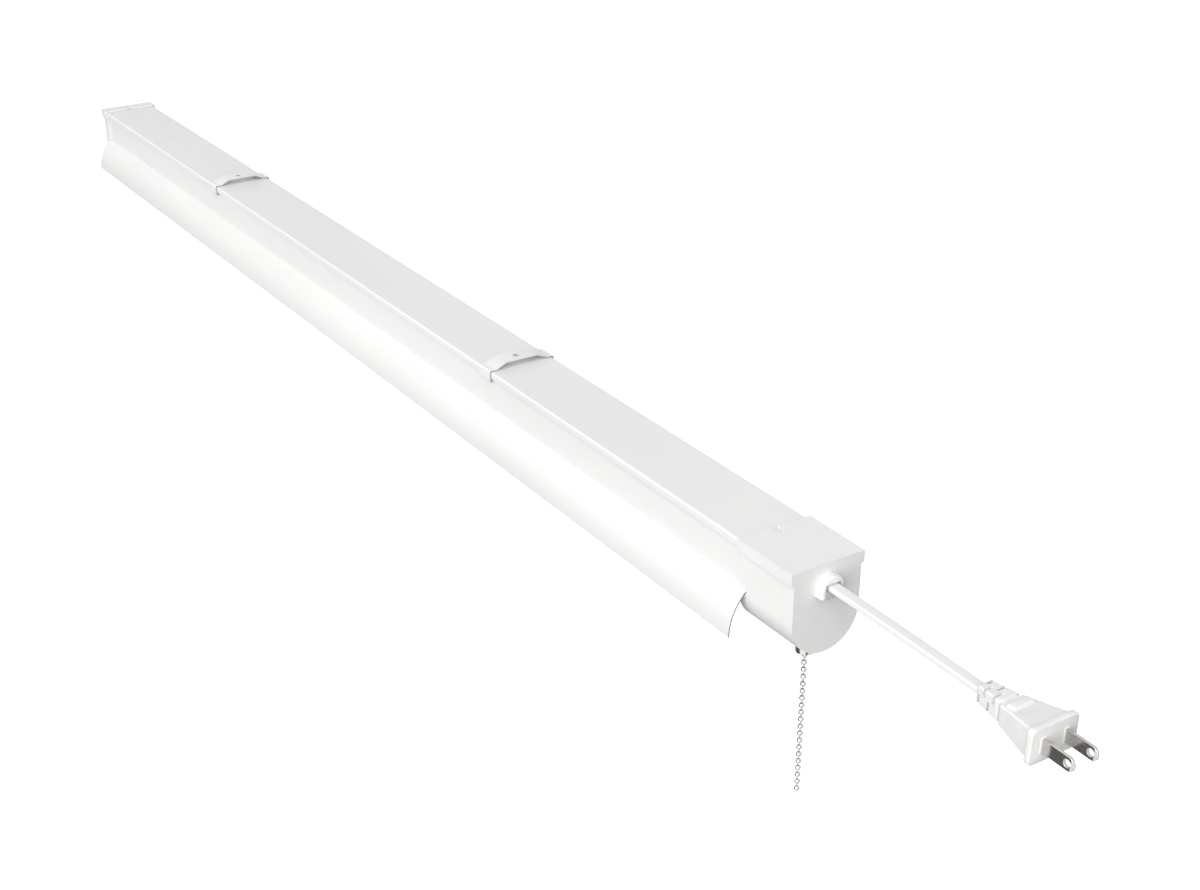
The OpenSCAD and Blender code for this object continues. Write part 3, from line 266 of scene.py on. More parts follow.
even = (1, 1, 1)
looks = {
    # coil-coated steel, stoved white enamel: soft sheen, a faint orange peel 2.5 mm across and
    # slow shifts of tone along the sheet
    "bakedEnamelSteel": {
        "colours": ("#f2f2f1", "#efefee"), "rough": (0.34, 0.42), "tone": (60, 2, (3, 1, 1)),
        "gloss": (9, 2, even), "bump": (2.5, 2, even), "depth": 0.02, "strength": 0.35,
        "fixed": {"IOR": 1.5}},
    # the same enamel on the wings, painted a shade greyer as painted shade for the shade they lie
    # in beside the side panels; their ends are painted grey, partly the bare steel of a cut made
    # after coating and partly painted shade that draws a thin dark line at the sheet's end
    "bakedEnamelWingPaintedShade": {
        "cutEdgeShade": "#74777a", "colours": ("#ebebea", "#e8e8e7"), "rough": (0.36, 0.44),
        "tone": (60, 2, (3, 1, 1)), "gloss": (9, 2, even), "bump": (2.5, 2, even), "depth": 0.02,
        "strength": 0.35, "fixed": {"IOR": 1.5}},
    # the same enamel on the clips, which are stamped strip: every face that looks along X, their
    # thin edges and the walls of their holes, is painted grey as painted shade, drawing their
    # outline and dark holes on the white cover
    "stampedEnamelPaintedEdgeShade": {
        "cutEdgeShade": "#a8aaac", "colours": ("#f2f2f1", "#efefee"), "rough": (0.34, 0.42),
        "tone": (20, 2, even), "gloss": (9, 2, even), "bump": (2.5, 2, even), "depth": 0.02,
        "strength": 0.35, "fixed": {"IOR": 1.5}},
    # injection-moulded ABS from a finely sparked mould: satin, with a grain drawn at 0.5 mm
    # because the real 0.1 mm would not show
    "mouldedAbs": {
        "colours": ("#f3f3f2", "#f0f0ef"), "rough": (0.38, 0.46), "tone": (25, 3, even),
        "gloss": (6, 2, even), "bump": (0.5, 3, even), "depth": 0.012, "strength": 0.4,
        "fixed": {"IOR": 1.54}},
    # the same white ABS painted greyer on the wedge that grips the cord, as painted shade for its
    # place deep in the arch, so that it stands apart from the white arch round it
    "mouldedAbsPaintedShade": {
        "colours": ("#d6d6d5", "#cfcfce"), "rough": (0.42, 0.5), "tone": (25, 3, even),
        "gloss": (6, 2, even), "bump": (0.5, 3, even), "depth": 0.012, "strength": 0.4,
        "fixed": {"IOR": 1.54}},
    # plasticised PVC, extruded round the cores: slightly waxy, with fine draw lines
    "extrudedPvc": {
        "colours": ("#f3f3f2", "#eeeeed"), "rough": (0.42, 0.52), "tone": (12, 3, (4, 1, 1)),
        "gloss": (4, 2, (6, 1, 1)), "bump": (0.7, 2, (14, 1, 1)), "depth": 0.01,
        "strength": 0.35, "fixed": {"IOR": 1.53}},
    # the same PVC moulded over the blades: duller, with a fine mould grain
    "overmouldedPvc": {
        "colours": ("#f2f2f1", "#ececeb"), "rough": (0.4, 0.5), "tone": (9, 3, even),
        "gloss": (4, 2, even), "bump": (0.6, 3, even), "depth": 0.012, "strength": 0.35,
        "fixed": {"IOR": 1.53}},
    # extruded opal polycarbonate: milky, passes light and hides what is behind it
    "opalPolycarbonate": {
        "colours": ("#f6f8f8", "#f1f4f4"), "rough": (0.48, 0.56), "tone": (30, 2, (6, 1, 1)),
        "gloss": (5, 2, (4, 1, 1)), "bump": (0.6, 3, even), "depth": 0.015, "strength": 0.3,
        "fixed": {"IOR": 1.58, "Transmission Weight": 0.3}},
    # bright nickel over turned and pressed brass: clear reflections, faintly dulled in rings
    "brightNickelPlate": {
        "colours": ("#d4d3d0", "#c8c7c4"), "rough": (0.06, 0.12), "tone": (1.5, 3, even),
        "gloss": (1, 2, (1, 1, 0.4)), "bump": (0.8, 2, even), "depth": 0.003, "strength": 0.3,
        "fixed": {"Metallic": 1.0}},
    # stamped brass strip under thin nickel: fine roll marks along the blades blur what they show
    "nickelPlatedBrass": {
        "colours": ("#cfcdc9", "#c2bfb9"), "rough": (0.13, 0.2), "tone": (0.8, 3, (8, 1, 1)),
        "gloss": (0.5, 2, (12, 1, 1)), "bump": (0.5, 2, (12, 1, 1)), "depth": 0.004,
        "strength": 0.3, "fixed": {"Metallic": 1.0}},
    # zinc-plated and passivated steel: grey, dull, cloudy
    "zincPlatedSteel": {
        "colours": ("#bfc2c4", "#a9adb0"), "rough": (0.3, 0.42), "tone": (6, 3, even),
        "gloss": (4, 3, even), "bump": (0.9, 3, even), "depth": 0.006, "strength": 0.3,
        "fixed": {"Metallic": 1.0}},
    # cold-drawn spring steel: darker, with marks along the wire
    "drawnSpringSteel": {
        "colours": ("#a9abad", "#96999c"), "rough": (0.26, 0.36), "tone": (1.2, 2, even),
        "gloss": (0.8, 2, even), "bump": (0.4, 2, even), "depth": 0.004, "strength": 0.3,
        "fixed": {"Metallic": 1.0}},
    # screen-printed white solder mask over glass laminate: smooth, its weave just felt
    "whiteSolderMask": {
        "colours": ("#f2f2ef", "#ebebe7"), "rough": (0.26, 0.34), "tone": (8, 3, even),
        "gloss": (3, 2, even), "bump": (1.2, 2, even), "depth": 0.01, "strength": 0.3,
        "fixed": {"IOR": 1.5}},
    # phosphor cast in clear silicone: deep yellow with a wet gloss
    "phosphorSilicone": {
        "colours": ("#f0d873", "#e6c757"), "rough": (0.16, 0.26), "tone": (1, 3, even),
        "gloss": (0.8, 2, even), "bump": (0.5, 2, even), "depth": 0.01, "strength": 0.3,
        "fixed": {"IOR": 1.42}},
    # compression-moulded phenolic: near black, with a slight mottle
    "mouldedPhenolic": {
        "colours": ("#2e2e30", "#232325"), "rough": (0.36, 0.5), "tone": (3, 4, even),
        "gloss": (2, 2, even), "bump": (0.6, 3, even), "depth": 0.02, "strength": 0.4,
        "fixed": {"IOR": 1.6}},
    # extruded PVC insulation in three colours: smooth, slightly drawn along the wire
    "blackInsulation": {
        "colours": ("#2a2a2d", "#1e1e21"), "rough": (0.36, 0.46), "tone": (3, 2, even),
        "gloss": (2, 2, even), "bump": (0.7, 2, even), "depth": 0.01, "strength": 0.3,
        "fixed": {"IOR": 1.53}},
    "whiteInsulation": {
        "colours": ("#ededeb", "#e2e2df"), "rough": (0.36, 0.46), "tone": (3, 2, even),
        "gloss": (2, 2, even), "bump": (0.7, 2, even), "depth": 0.01, "strength": 0.3,
        "fixed": {"IOR": 1.53}},
    "redInsulation": {
        "colours": ("#b3272b", "#9e2226"), "rough": (0.36, 0.46), "tone": (3, 2, even),
        "gloss": (2, 2, even), "bump": (0.7, 2, even), "depth": 0.01, "strength": 0.3,
        "fixed": {"IOR": 1.53}},
}
finishes = {name: makeFinish(name, look) for name, look in looks.items()}
print("materials made,", len(finishes))

cord = {
    "width": 5.6,
    "thick": 3.0,
    "edge": 0.85,  # radius of the jacket's long edges
    "edgeSteps": 7,
    "rings": 60,
    # the route of part.scad, in metres
    "route": [
        (0.452, 0, -0.0132), (0.458, 0, -0.0132), (0.464, 0, -0.0132), (0.4705, 0, -0.0132),
        (0.476, 0, -0.01321), (0.482, 0, -0.01323), (0.49, 0, -0.01329), (0.498, 0, -0.01338),
        (0.506, 0, -0.01349), (0.514, 0, -0.01361), (0.522, 0, -0.01376), (0.53, 0, -0.01392),
        (0.538, 0, -0.01409), (0.546, 0, -0.01428), (0.554, 0, -0.01447), (0.559, 0, -0.01459),
        (0.5635, 0, -0.0147),
    ],
    "exit": (0.4705, 0, -0.0132),
}


def smoothRoute(route, steps):
    # points spread evenly along a smooth curve through the route: each coordinate is a cubic
    # of the length gone, fitted to four neighbouring points at a time
    p = np.asarray(route, float)
    padded = np.vstack([2 * p[0] - p[1], p, 2 * p[-1] - p[-2]])
    a, b, c, d = padded[:-3], padded[1:-2], padded[2:-1], padded[3:]
    u = np.linspace(0, 1, 12, endpoint=False)[:, None, None]
    # 2b + (c-a)u + (2a-5b+4c-d)u^2 + (3b-a-3c+d)u^3, halved, runs from b to c
    fine = 0.5 * (2 * b + (c - a) * u + (2 * a - 5 * b + 4 * c - d) * u**2
                  + (3 * b - a - 3 * c + d) * u**3)
    fine = np.vstack([fine.transpose(1, 0, 2).reshape(-1, 3), p[-1:]])
    gone = np.concatenate([[0], np.cumsum(np.linalg.norm(np.diff(fine, axis=0), axis=1))])
    stops = np.linspace(0, gone[-1], steps)
    return np.stack([np.interp(stops, gone, fine[:, k]) for k in range(3)], -1), gone[-1]


def flatCord(c):
    # each ring is a flat section with round edges, drawn square to the route with its width
    # kept level across the light: point = route + side * across + up * high
    halfWidth, halfThick = c["width"] / 2, c["thick"] / 2
    corners = [(halfWidth, -halfThick), (halfWidth, halfThick), (-halfWidth, halfThick),
               (-halfWidth, -halfThick)]
    section = roundCorners(corners, c["edge"], c["edgeSteps"])
    route, length = smoothRoute(np.array(c["route"]) / mm, c["rings"])
    way = np.gradient(route, axis=0)
    way /= np.linalg.norm(way, axis=1, keepdims=True)
    side = np.array([0.0, 1.0, 0.0]) - way * way[:, 1:2]
    up = np.cross(way, side)
    across, high = section[None, :, :1], section[None, :, 1:]
    piece = tube("cordJacket", route[:, None] + side[:, None] * across + up[:, None] * high)
    settle(piece, "fixture", "white_pvc", finishes["extrudedPvc"], "power_cord")


plug = {
    "start": (563.5, 0, -14.7),  # mm, the cord's end
    "tilt": 1.4,  # degrees nose down
    "collar": 13.8,  # lengths along the plug's axis
    "neck": 1.4,
    "body": 20.4,
    "flange": 3.2,
    # the moulding's sections: where each lies from the start of one of those lengths, its half
    # width, half height and edge radius
    "sections": [
        ("collar", 0, 3.45, 3.65, 0.6), ("collar", 0.12, 3.76, 3.96, 0.75),
        ("collar", 0.45, 3.92, 4.11, 0.8), ("neck", -0.3, 5.47, 4.98, 0.8),
        ("neck", -0.08, 5.4, 4.9, 0.75), ("neck", 0, 5.2, 4.8, 0.7),
        ("neck", 0.05, 4.3, 4.75, 0.6), ("body", -0.05, 4.3, 4.75, 0.6),
        ("body", 0, 6.35, 4.7, 0.7), ("body", 0.08, 6.55, 4.75, 0.75),
        ("body", 0.3, 6.66, 4.82, 0.8), ("flange", -0.25, 10.85, 7.17, 0.8),
        ("flange", -0.03, 11.1, 7.35, 0.9), ("flange", 0, 12.25, 7.8, 1.7),
        ("flange", 0.15, 12.62, 8.17, 2.05), ("flange", 0.5, 12.8, 8.35, 2.2),
        ("face", -0.55, 12.8, 8.35, 2.2), ("face", -0.16, 12.66, 8.21, 2.1),
        ("face", 0, 12.3, 7.85, 1.8),
    ],
    "slots": 4,
    "slotPitch": 3.0,
    "slotWidth": 1.2,
    "slotDepth": 2.1,
    "slotWall": 0.02,  # lean of a slot's walls
    "slotEdge": 0.4,  # share of the edge radius that is left at a slot's bottom
    "bridge": 0.05,  # share of a side's half, about its middle, that no slot cuts
    "gripStart": 2.6,
    "gripLength": 5.0,
    "gripHeight": 1.2,
    "gripHalf": 5.7,
    "gripCorner": 0.7,
    "gripFoot": (4.8, 2.4),  # the body's half height under it, and how much that grows
    # from foot to top: share of the height, how far the sides and then the front are drawn in
    "gripRings": [(-0.9, 0, 0), (0, 0, 0), (0.75, 0.12, 0.8), (0.93, 0.25, 1.0), (1, 0.5, 1.3)],
    "bladeY": 6.35,
    "blade": (1.5, 6.3),  # thickness and height
    "rim": 0.7,  # width of the rim round a blade's root
    "rimCorner": 0.35,
    # from the face outwards: height, and the share of the width that is left
    "rimRings": [(-0.4, 1), (0, 1), (0.22, 0.8), (0.3, 0.45), (0.3, 0.05)],
}


def onPlug(points):
    # from the plug's own frame to the light's: a turn about Y, then a shift to the cord's end
    t = math.radians(plug["tilt"])
    x, y, z = points[..., 0], points[..., 1], points[..., 2]
    c, s = math.cos(t), math.sin(t)
    return np.stack([x * c + z * s, y, z * c - x * s], -1) + np.array(plug["start"])


def roundRect(a, b, r):
    # rounded rectangle of half sizes a, b and corner radius r, as arcs joined by split sides;
    # a, b and r are columns with one row for each section; also gives, for every point, how
    # far it lies along its side, from -1 to 1; the splits are close where the slots end
    split = np.array([0.14, 0.3, 0.42, 0.465, 0.535, 0.58, 0.7, 0.86])
    t = np.radians(np.linspace(0, 90, 6))
    c, s = np.cos(t), np.sin(t)
    corners = [
        (a - r + r * c, b - r + r * s), (-(a - r) - r * s, b - r + r * c),
        (-(a - r) - r * c, -(b - r) - r * s), (a - r + r * s, -(b - r) - r * c),
    ]
    ys, zs, along = [], [], []
    for k, (y, z) in enumerate(corners):
        nextY, nextZ = corners[(k + 1) % 4]
        ys += [y, y[:, -1:] + (nextY[:, :1] - y[:, -1:]) * split]
        zs += [z, z[:, -1:] + (nextZ[:, :1] - z[:, -1:]) * split]
        along += [np.ones(len(t)), 2 * split - 1]
    return np.hstack(ys), np.hstack(zs), np.concatenate(along)


def plugMoulding(p):
    # loft along the plug's axis: half width, half height and edge radius run straight from one
    # section of the table to the next, with 16 more rings along the taper from the body's
    # second section to its flange; where a slot is, one pair of opposite corners is drawn in
    starts = np.cumsum([0, p["collar"], p["neck"], p["body"], p["flange"]])
    at = dict(zip(("collar", "neck", "body", "flange", "face"), starts))
    table = np.array([(at[part] + past, *sizes) for part, past, *sizes in p["sections"]])
    slots = (np.arange(p["slots"]) + 0.5) * p["slotPitch"]
    half, lean = p["slotWidth"] / 2, p["slotWall"]
    edges = np.array([-half - lean, -half + lean, half - lean, half + lean])
    taper = table[(table[:, 0] > at["body"]) & (table[:, 0] < at["flange"]), 0]
    between = np.linspace(taper[1], taper[2], 16)
    x = np.concatenate([table[:, 0], (slots[:, None] + edges).ravel(), between])
    x = np.unique(np.round(x, 3))
    a, b, r = (np.interp(x, table[:, 0], table[:, k])[:, None] for k in (1, 2, 3))
    y, z, along = roundRect(a, b, r)
    yIn, zIn, _ = roundRect(a - p["slotDepth"], b - p["slotDepth"], r * p["slotEdge"])
    k = np.argmin(np.abs(x[:, None] - slots[None, :]), axis=1)
    inSlot = (np.abs(x - slots[k]) < half)[:, None] & (x < at["neck"])[:, None]
    handed = np.where(k % 2 == 0, 1, -1)[:, None]
    cut = inSlot & (y * z * handed > 0) & (np.abs(along) > p["bridge"])[None, :]
    y, z = np.where(cut, yIn, y), np.where(cut, zIn, z)
    grids = [np.stack([x[:, None] + 0 * y, y, z], -1)]
    grids += [gripBar(p, at["body"], side) for side in (-1, 1)]
    grids += [socketRim(p, at["face"], side) for side in (-1, 1)]
    piece = joined("plugMoulding", [onPlug(grid) for grid in grids], sharp=50)
    settle(piece, "fixture", "white_pvc", finishes["overmouldedPvc"], "plug_body")


def gripBar(p, bodyX, side):
    # rounded bar for the fingers: its outline in X and Y is a rounded rectangle, drawn in
    # towards the top, and the front edge is drawn in further, so it slopes
    start, stop = bodyX + p["gripStart"], bodyX + p["gripStart"] + p["gripLength"]
    half, corner = p["gripHalf"], p["gripCorner"]
    corners = [(start, -half), (stop, -half), (stop, half), (start, half)]
    foot = roundCorners(corners, corner, steps=6)
    share, inset, front = np.array(p["gripRings"]).T[..., None]
    towards = np.sign(foot[None, :, 0] - (start + stop) / 2)
    x = foot[None, :, 0] - towards * (inset + np.where(towards > 0, front, 0))
    y = foot[None, :, 1] * (1 - inset / half)
    under, growth = p["gripFoot"]
    z = side * (under + growth * (x - bodyX) / p["body"] + p["gripHeight"] * share)
    return np.stack([x, y, z], -1)


def socketRim(p, faceX, side):
    # low moulded rim round a blade's root: rounded rectangles that close in on the blade
    rise, out = np.array(p["rimRings"]).T
    a, b = np.array(p["blade"])[:, None] / 2 + out * p["rim"]
    corners = np.stack([(a, -b), (a, b), (-a, b), (-a, -b)]).transpose(2, 0, 1)
    ring = np.array([roundCorners(four, p["rimCorner"], steps=4) for four in corners])
    x = faceX + rise[:, None] + 0 * ring[..., 0]
    return np.stack([x, side * p["bladeY"] + ring[..., 0], ring[..., 1]], -1)


plugMoulding(plug)
bladeEdge = 0.14  # mm
settle(softCopy("plug_blades", "contactBlades", bladeEdge, 3), "fixture", "plated_brass",
       finishes["nickelPlatedBrass"], "plug_blades")
flatCord(cord)
print("cord and plug made")

relief = {
    "back": 462.7,  # mm along the light: inner end, wall face, and front
    "wall": 466.0,
    "front": 470.5,
    "half": 6.8,
    "archZ": -14.3,
    "footZ": -17.7,
    "slotHalf": 4.3,
    "slotTop": -11.1,
    "slotCorner": 36.65,  # degrees up from level, from the arch's centre to the slot's corner
    "shoulder": 0.9,
    "frontRadius": 1.3,
    "slotEdge": 0.45,
    "barbLength": 1.2,
    "barbHeight": 2.5,  # from the foot
    "step": 0.05,  # length over which a barb fades out
    "wedge": {
        "front": 469.8,
        "half": 4.0,
        "top": -14.8,
        "foot": -19.2,
        "footRadius": 1.6,
        "edge": 0.3,
        "grooveY": 1.3,
        "grooveHalf": 0.4,
        "grooveDepth": 0.6,
    },
}


def strainRelief(s):
    # arch: every row runs from the slot's edge out to the arch's edge, up one leg, over the
    # top and down the other; every column is one point of a closed outline seen from the side
    barbZ = s["footZ"] + s["barbHeight"]
    legZ = np.array([s["footZ"], barbZ, barbZ + s["step"]])
    toZ = s["slotTop"] - s["archZ"]
    corner = s["slotCorner"]
    angle = np.concatenate([np.linspace(0, 180, 33), [corner, 180 - corner]])
    t = np.radians(np.unique(np.round(angle, 2)))
    tiny = 1e-6
    reach = np.minimum(s["slotHalf"] / np.maximum(np.abs(np.cos(t)), tiny),
                       toZ / np.maximum(np.sin(t), tiny))
    way = np.stack([np.cos(t), np.sin(t)], -1)
    centre = np.array([0, s["archZ"]])
    archOut, archIn = centre + s["half"] * way, centre + reach[:, None] * way
    right = np.stack([np.full(3, 1.0), legZ], -1)
    rightOut, rightIn = right * [s["half"], 1], right * [s["slotHalf"], 1]
    outer = np.vstack([rightOut, archOut, (rightOut * [-1, 1])[::-1]])
    inner = np.vstack([rightIn, archIn, (rightIn * [-1, 1])[::-1]])
    outward = np.vstack([np.tile([1.0, 0], (3, 1)), way, np.tile([-1.0, 0], (3, 1))])
    low = (outer[:, 1] < barbZ + s["step"] / 2)[:, None]
    neck = outer - outward * s["shoulder"]
    barb = np.where(low, outer, neck)
    barbEnd = s["back"] + s["barbLength"]
    r, e = s["frontRadius"], s["slotEdge"]
    bend = np.radians(np.linspace(0, 90, 7))
    columns = [(s["back"], inner), (s["back"], barb), (barbEnd, barb),
               (barbEnd + s["step"], neck), (s["wall"], neck), (s["wall"], outer)]
    columns += [(s["front"] - r + r * math.sin(b), outer - outward * r * (1 - math.cos(b)))
                for b in bend]
    slotOut = (outer - inner) / np.linalg.norm(outer - inner, axis=1, keepdims=True)
    columns += [(s["front"] - e + e * math.cos(b), inner + slotOut * e * (1 - math.sin(b)))
                for b in bend[::2]]
    grid = np.stack([np.column_stack([np.full(len(q), x), q]) for x, q in columns], 1)
    settle(tube("strainReliefArch", grid), "fixture", "white_moulding", finishes["mouldedAbs"],
           "strain_relief_shell")


def cordWedge(s):
    # stations across the wedge, each a closed outline seen from the side; with d the way past
    # the start of a round of radius r, the foot rises and the front goes back by
    # r - sqrt(r^2 - d^2), and the front also goes back by a cosine hollow in its two grooves
    w = s["wedge"]
    y = w["half"] * np.sin(np.linspace(-math.pi / 2, math.pi / 2, 97))

    def drawnIn(r):
        d = np.clip(np.abs(y) - (w["half"] - r), 0, r)
        return r - np.sqrt(r**2 - d**2)

    off = np.abs(np.abs(y) - w["grooveY"]) / w["grooveHalf"]
    hollow = np.where(off < 1, 0.5 + 0.5 * np.cos(math.pi * off), 0) * w["grooveDepth"]
    foot, front = w["foot"] + drawnIn(w["footRadius"]), w["front"] - drawnIn(w["edge"]) - hollow
    back, top = s["back"], w["top"]
    ring = np.array([roundCorners([(back, low), (fore, low), (fore, top), (back, top)],
                                  w["edge"], steps=4) for low, fore in zip(foot, front)])
    grid = np.stack([ring[..., 0], y[:, None] + 0 * ring[..., 0], ring[..., 1]], -1)
    # painted shade: the wedge takes a greyer copy of the white ABS
    settle(tube("cordWedge", grid), "fixture", "white_moulding", finishes["mouldedAbsPaintedShade"],
           "strain_relief_wedge")


strainRelief(relief)
cordWedge(relief)
print("strain relief made")

# pressed, moulded and extruded pieces whose shape comes from the CAD: piece name, radius of
# their edges in mm, slot, finish, body
dressed = {
    "top_cover": ("coverSheet", 0.22, "white_steel", "bakedEnamelSteel", "fixture"),
    "left_side_panel": ("leftSideSheet", 0.2, "white_steel", "bakedEnamelSteel", "fixture"),
    "right_side_panel": ("rightSideSheet", 0.2, "white_steel", "bakedEnamelSteel", "fixture"),
    # the wings' finish is their enamel painted greyer, with grey ends, as painted shade
    "left_wing": ("leftWingSheet", 0.2, "white_steel", "bakedEnamelWingPaintedShade", "fixture"),
    "right_wing": ("rightWingSheet", 0.2, "white_steel", "bakedEnamelWingPaintedShade", "fixture"),
    # the clips' finish paints their edges and hole walls grey as painted shade
    "near_clip": ("nearHangingClip", 0.18, "white_steel", "stampedEnamelPaintedEdgeShade", "near_clip"),
    "far_clip": ("farHangingClip", 0.18, "white_steel", "stampedEnamelPaintedEdgeShade", "far_clip"),
    "cord_end_cap": ("cordEndCap", 0.3, "white_moulding", "mouldedAbs", "fixture"),
    "plain_end_cap": ("plainEndCap", 0.3, "white_moulding", "mouldedAbs", "fixture"),
    "diffuser_lens": ("lensExtrusion", 0.25, "frosted_lens", "opalPolycarbonate", "fixture"),
    "gear_tray": ("lampTray", 0.2, "plated_steel", "zincPlatedSteel", "fixture"),
    "led_board": ("lampBoard", 0.15, "board", "whiteSolderMask", "fixture"),
    "led_chips": ("lampPackages", 0.2, "lamp_phosphor", "phosphorSilicone", "fixture"),
    "board_screws": ("boardScrews", 0.15, "plated_steel", "zincPlatedSteel", "fixture"),
    "led_driver": ("driverCase", 0.5, "white_moulding", "mouldedAbs", "fixture"),
    "driver_screws": ("driverScrews", 0.15, "plated_steel", "zincPlatedSteel", "fixture"),
    "cord_conductors": ("cordCores", 0, "wire_insulation", "blackInsulation", "fixture"),
    "crimp_splice": ("crimpedSplice", 0.2, "plated_steel", "zincPlatedSteel", "fixture"),
    "neutral_lead": ("driverLead", 0, "wire_insulation", "whiteInsulation", "fixture"),
    "switch_lead": ("switchedLead", 0, "wire_insulation", "blackInsulation", "fixture"),
    "led_leads": ("lampLeads", 0, "wire_insulation", "redInsulation", "fixture"),
    "switch_body": ("switchBlock", 0.5, "dark_moulding", "mouldedPhenolic", "fixture"),
    "switch_barrel": ("threadedBarrel", 0.15, "nickel", "brightNickelPlate", "fixture"),
}
for node, (name, radius, slot, finish, body) in dressed.items():
    settle(softCopy(node, name, radius), body, slot, finishes[finish], node)
print("sheets, mouldings and inner pieces made")

switch = {
    "x": 453.3,  # mm, the upright axis that all of it shares
    # the ring nut's corners as radius and height, and the radius of each
    "nut": [(3.6, -48.75), (4.6, -48.75), (4.6, -55.1), (2.0, -55.1), (2.0, -54.3), (3.6, -54.3)],
    "nutEdges": [0.05, 0.25, 0.6, 0.3, 0.2, 0.1],
    "headZ": (-28.3, -29.5),
    "headRadius": 4.6,
    "headEdge": 0.3,
    "rodRadius": 0.45,
    "rodEdge": 0.1,
    "rodOverlap": 0.2,  # how far the shank runs up into the head
    "bead": 1.4,
    "beadWall": 0.2,
    "beadMouth": 0.58,
    "beadRoll": 0.12,  # radians by which the mouth's inner lip is drawn back
    "pitch": 3.95,
    "beads": 19,
    "firstBead": -57.3,
    "link": 0.36,
    "linkEnd": 0.77,  # mm from a bead's middle to the link's end inside it
    "rodEnd": 0.8,  # the same for the shank and the tail in the inner bead
    "gap": 0.15,
    # the spring at rest: heights of its ends, turns at each end that lie closed and their rise
    # in wires, points along a turn and round the wire, neighbours on each side of the easing mean
    "spring": {"z": (-42.7, -29.88), "radius": 3.65, "wire": 0.35, "turns": 6, "closed": 1.0,
               "closedRise": 2.2, "alongTurn": 28, "roundWire": 12, "eased": 7},
    "pull": 8.0,
}


def beadOutline(s):
    # hollow bead: outer arc from mouth to mouth, a rolled lip, and the inner arc back
    lip = math.asin(s["beadMouth"] / s["bead"])
    a = np.linspace(lip, math.pi - lip, 15)
    inner = s["bead"] - s["beadWall"]
    roll = s["beadRoll"]
    b = np.linspace(math.pi - lip - roll, lip + roll, 7)
    outside = s["bead"] * np.stack([np.sin(a), np.cos(a)], -1)
    inside = inner * np.stack([np.sin(b), np.cos(b)], -1)
    return np.vstack([outside, inside])


def rodOutline(radius, top, bottom, edge):
    corners = [(0, top), (radius, top), (radius, bottom), (0, bottom)]
    return roundCorners(corners, [0, edge, edge, 0])


def pullChain(s):
    nickel = finishes["brightNickelPlate"]
    nut = turned("ringNut", roundCorners(s["nut"], s["nutEdges"]), s["x"], sides=64, sharp=35)
    settle(nut, "fixture", "nickel", nickel, "barrel_nut")
    bead, first = beadOutline(s), s["firstBead"]
    top = turned("topBead", bead + [0, first], s["x"], sharp=60)
    settle(top, "chain_top", "nickel", nickel, "chain_top_bead")

    drops = s["pitch"] * np.arange(1, s["beads"] + 1)
    beads = turned("hangingBeads", bead + [0, first], s["x"], drops, sharp=60)
    edge, inside = s["rodEdge"], s["linkEnd"]
    toNext = first - s["pitch"] - inside
    upper = rodOutline(s["link"], first - s["bead"] - s["gap"], toNext, edge)
    between = rodOutline(s["link"], first - inside, toNext, edge)
    links = turned("upperLink", upper, s["x"], sides=16)
    others = turned("lowerLinks", between, s["x"], drops[:-1], sides=16)
    settle(mergeInto(beads, links, others), "chain", "nickel", nickel, "ball_chain")

    headTop, headLow = s["headZ"]
    innerBead, inside = first + s["pitch"], s["rodEnd"]
    disc = rodOutline(s["headRadius"], headTop, headLow, s["headEdge"])
    long = rodOutline(s["rodRadius"], headLow + s["rodOverlap"], innerBead + inside, edge)
    short = rodOutline(s["link"], innerBead - inside, first + s["bead"] + s["gap"], edge)
    head = turned("pullRod", disc, s["x"], sides=48)
    shank = turned("shank", long, s["x"], sides=20)
    inner = turned("innerBead", bead + [0, innerBead], s["x"], sharp=60)
    tail = turned("tail", short, s["x"], sides=16)
    settle(mergeInto(head, shank, inner, tail), "pull_rod", "nickel", nickel, "pull_rod")


def mergeInto(first, *others):
    # several meshes of one rigid piece put into the first one's object
    bm = bmesh.new()
    for piece in (first, *others):
        bm.from_mesh(piece.data)
    bm.to_mesh(first.data)
    bm.free()
    for piece in others:
        bpy.data.objects.remove(piece)
    return first


def returnSpring(s):
    # helix: the height rises slowly in the closed end turns and evenly between them, and the
    # change is eased by a mean over neighbouring points; x = radius * cos(angle), y = radius *
    # sin(angle), and the round wire section stands on the radius and the upright
    w = s["spring"]
    low, high = w["z"]
    ends = w["closedRise"] * w["wire"] * w["closed"]
    turn = np.linspace(0, w["turns"], w["turns"] * w["alongTurn"] + 1)
    z = np.interp(turn, [0, w["closed"], w["turns"] - w["closed"], w["turns"]],
                  [low, low + ends, high - ends, high])
    padded = np.pad(z, w["eased"], mode="reflect", reflect_type="odd")
    count = 2 * w["eased"] + 1
    z = np.convolve(padded, np.ones(count) / count, "valid")
    a = 2 * math.pi * turn
    b = np.linspace(0, 2 * math.pi, w["roundWire"], endpoint=False)
    r = w["radius"] + w["wire"] * np.cos(b)[None, :]
    grid = np.stack([s["x"] + r * np.cos(a)[:, None], r * np.sin(a)[:, None],
                     z[:, None] + w["wire"] * np.sin(b)[None, :]], -1)
    piece = tube("returnCoil", grid)
    settle(piece, "fixture", "spring_wire", finishes["drawnSpringSteel"], "return_spring")
    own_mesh(piece)


pullChain(switch)
returnSpring(switch)
print("nut, chain, rod and spring made")

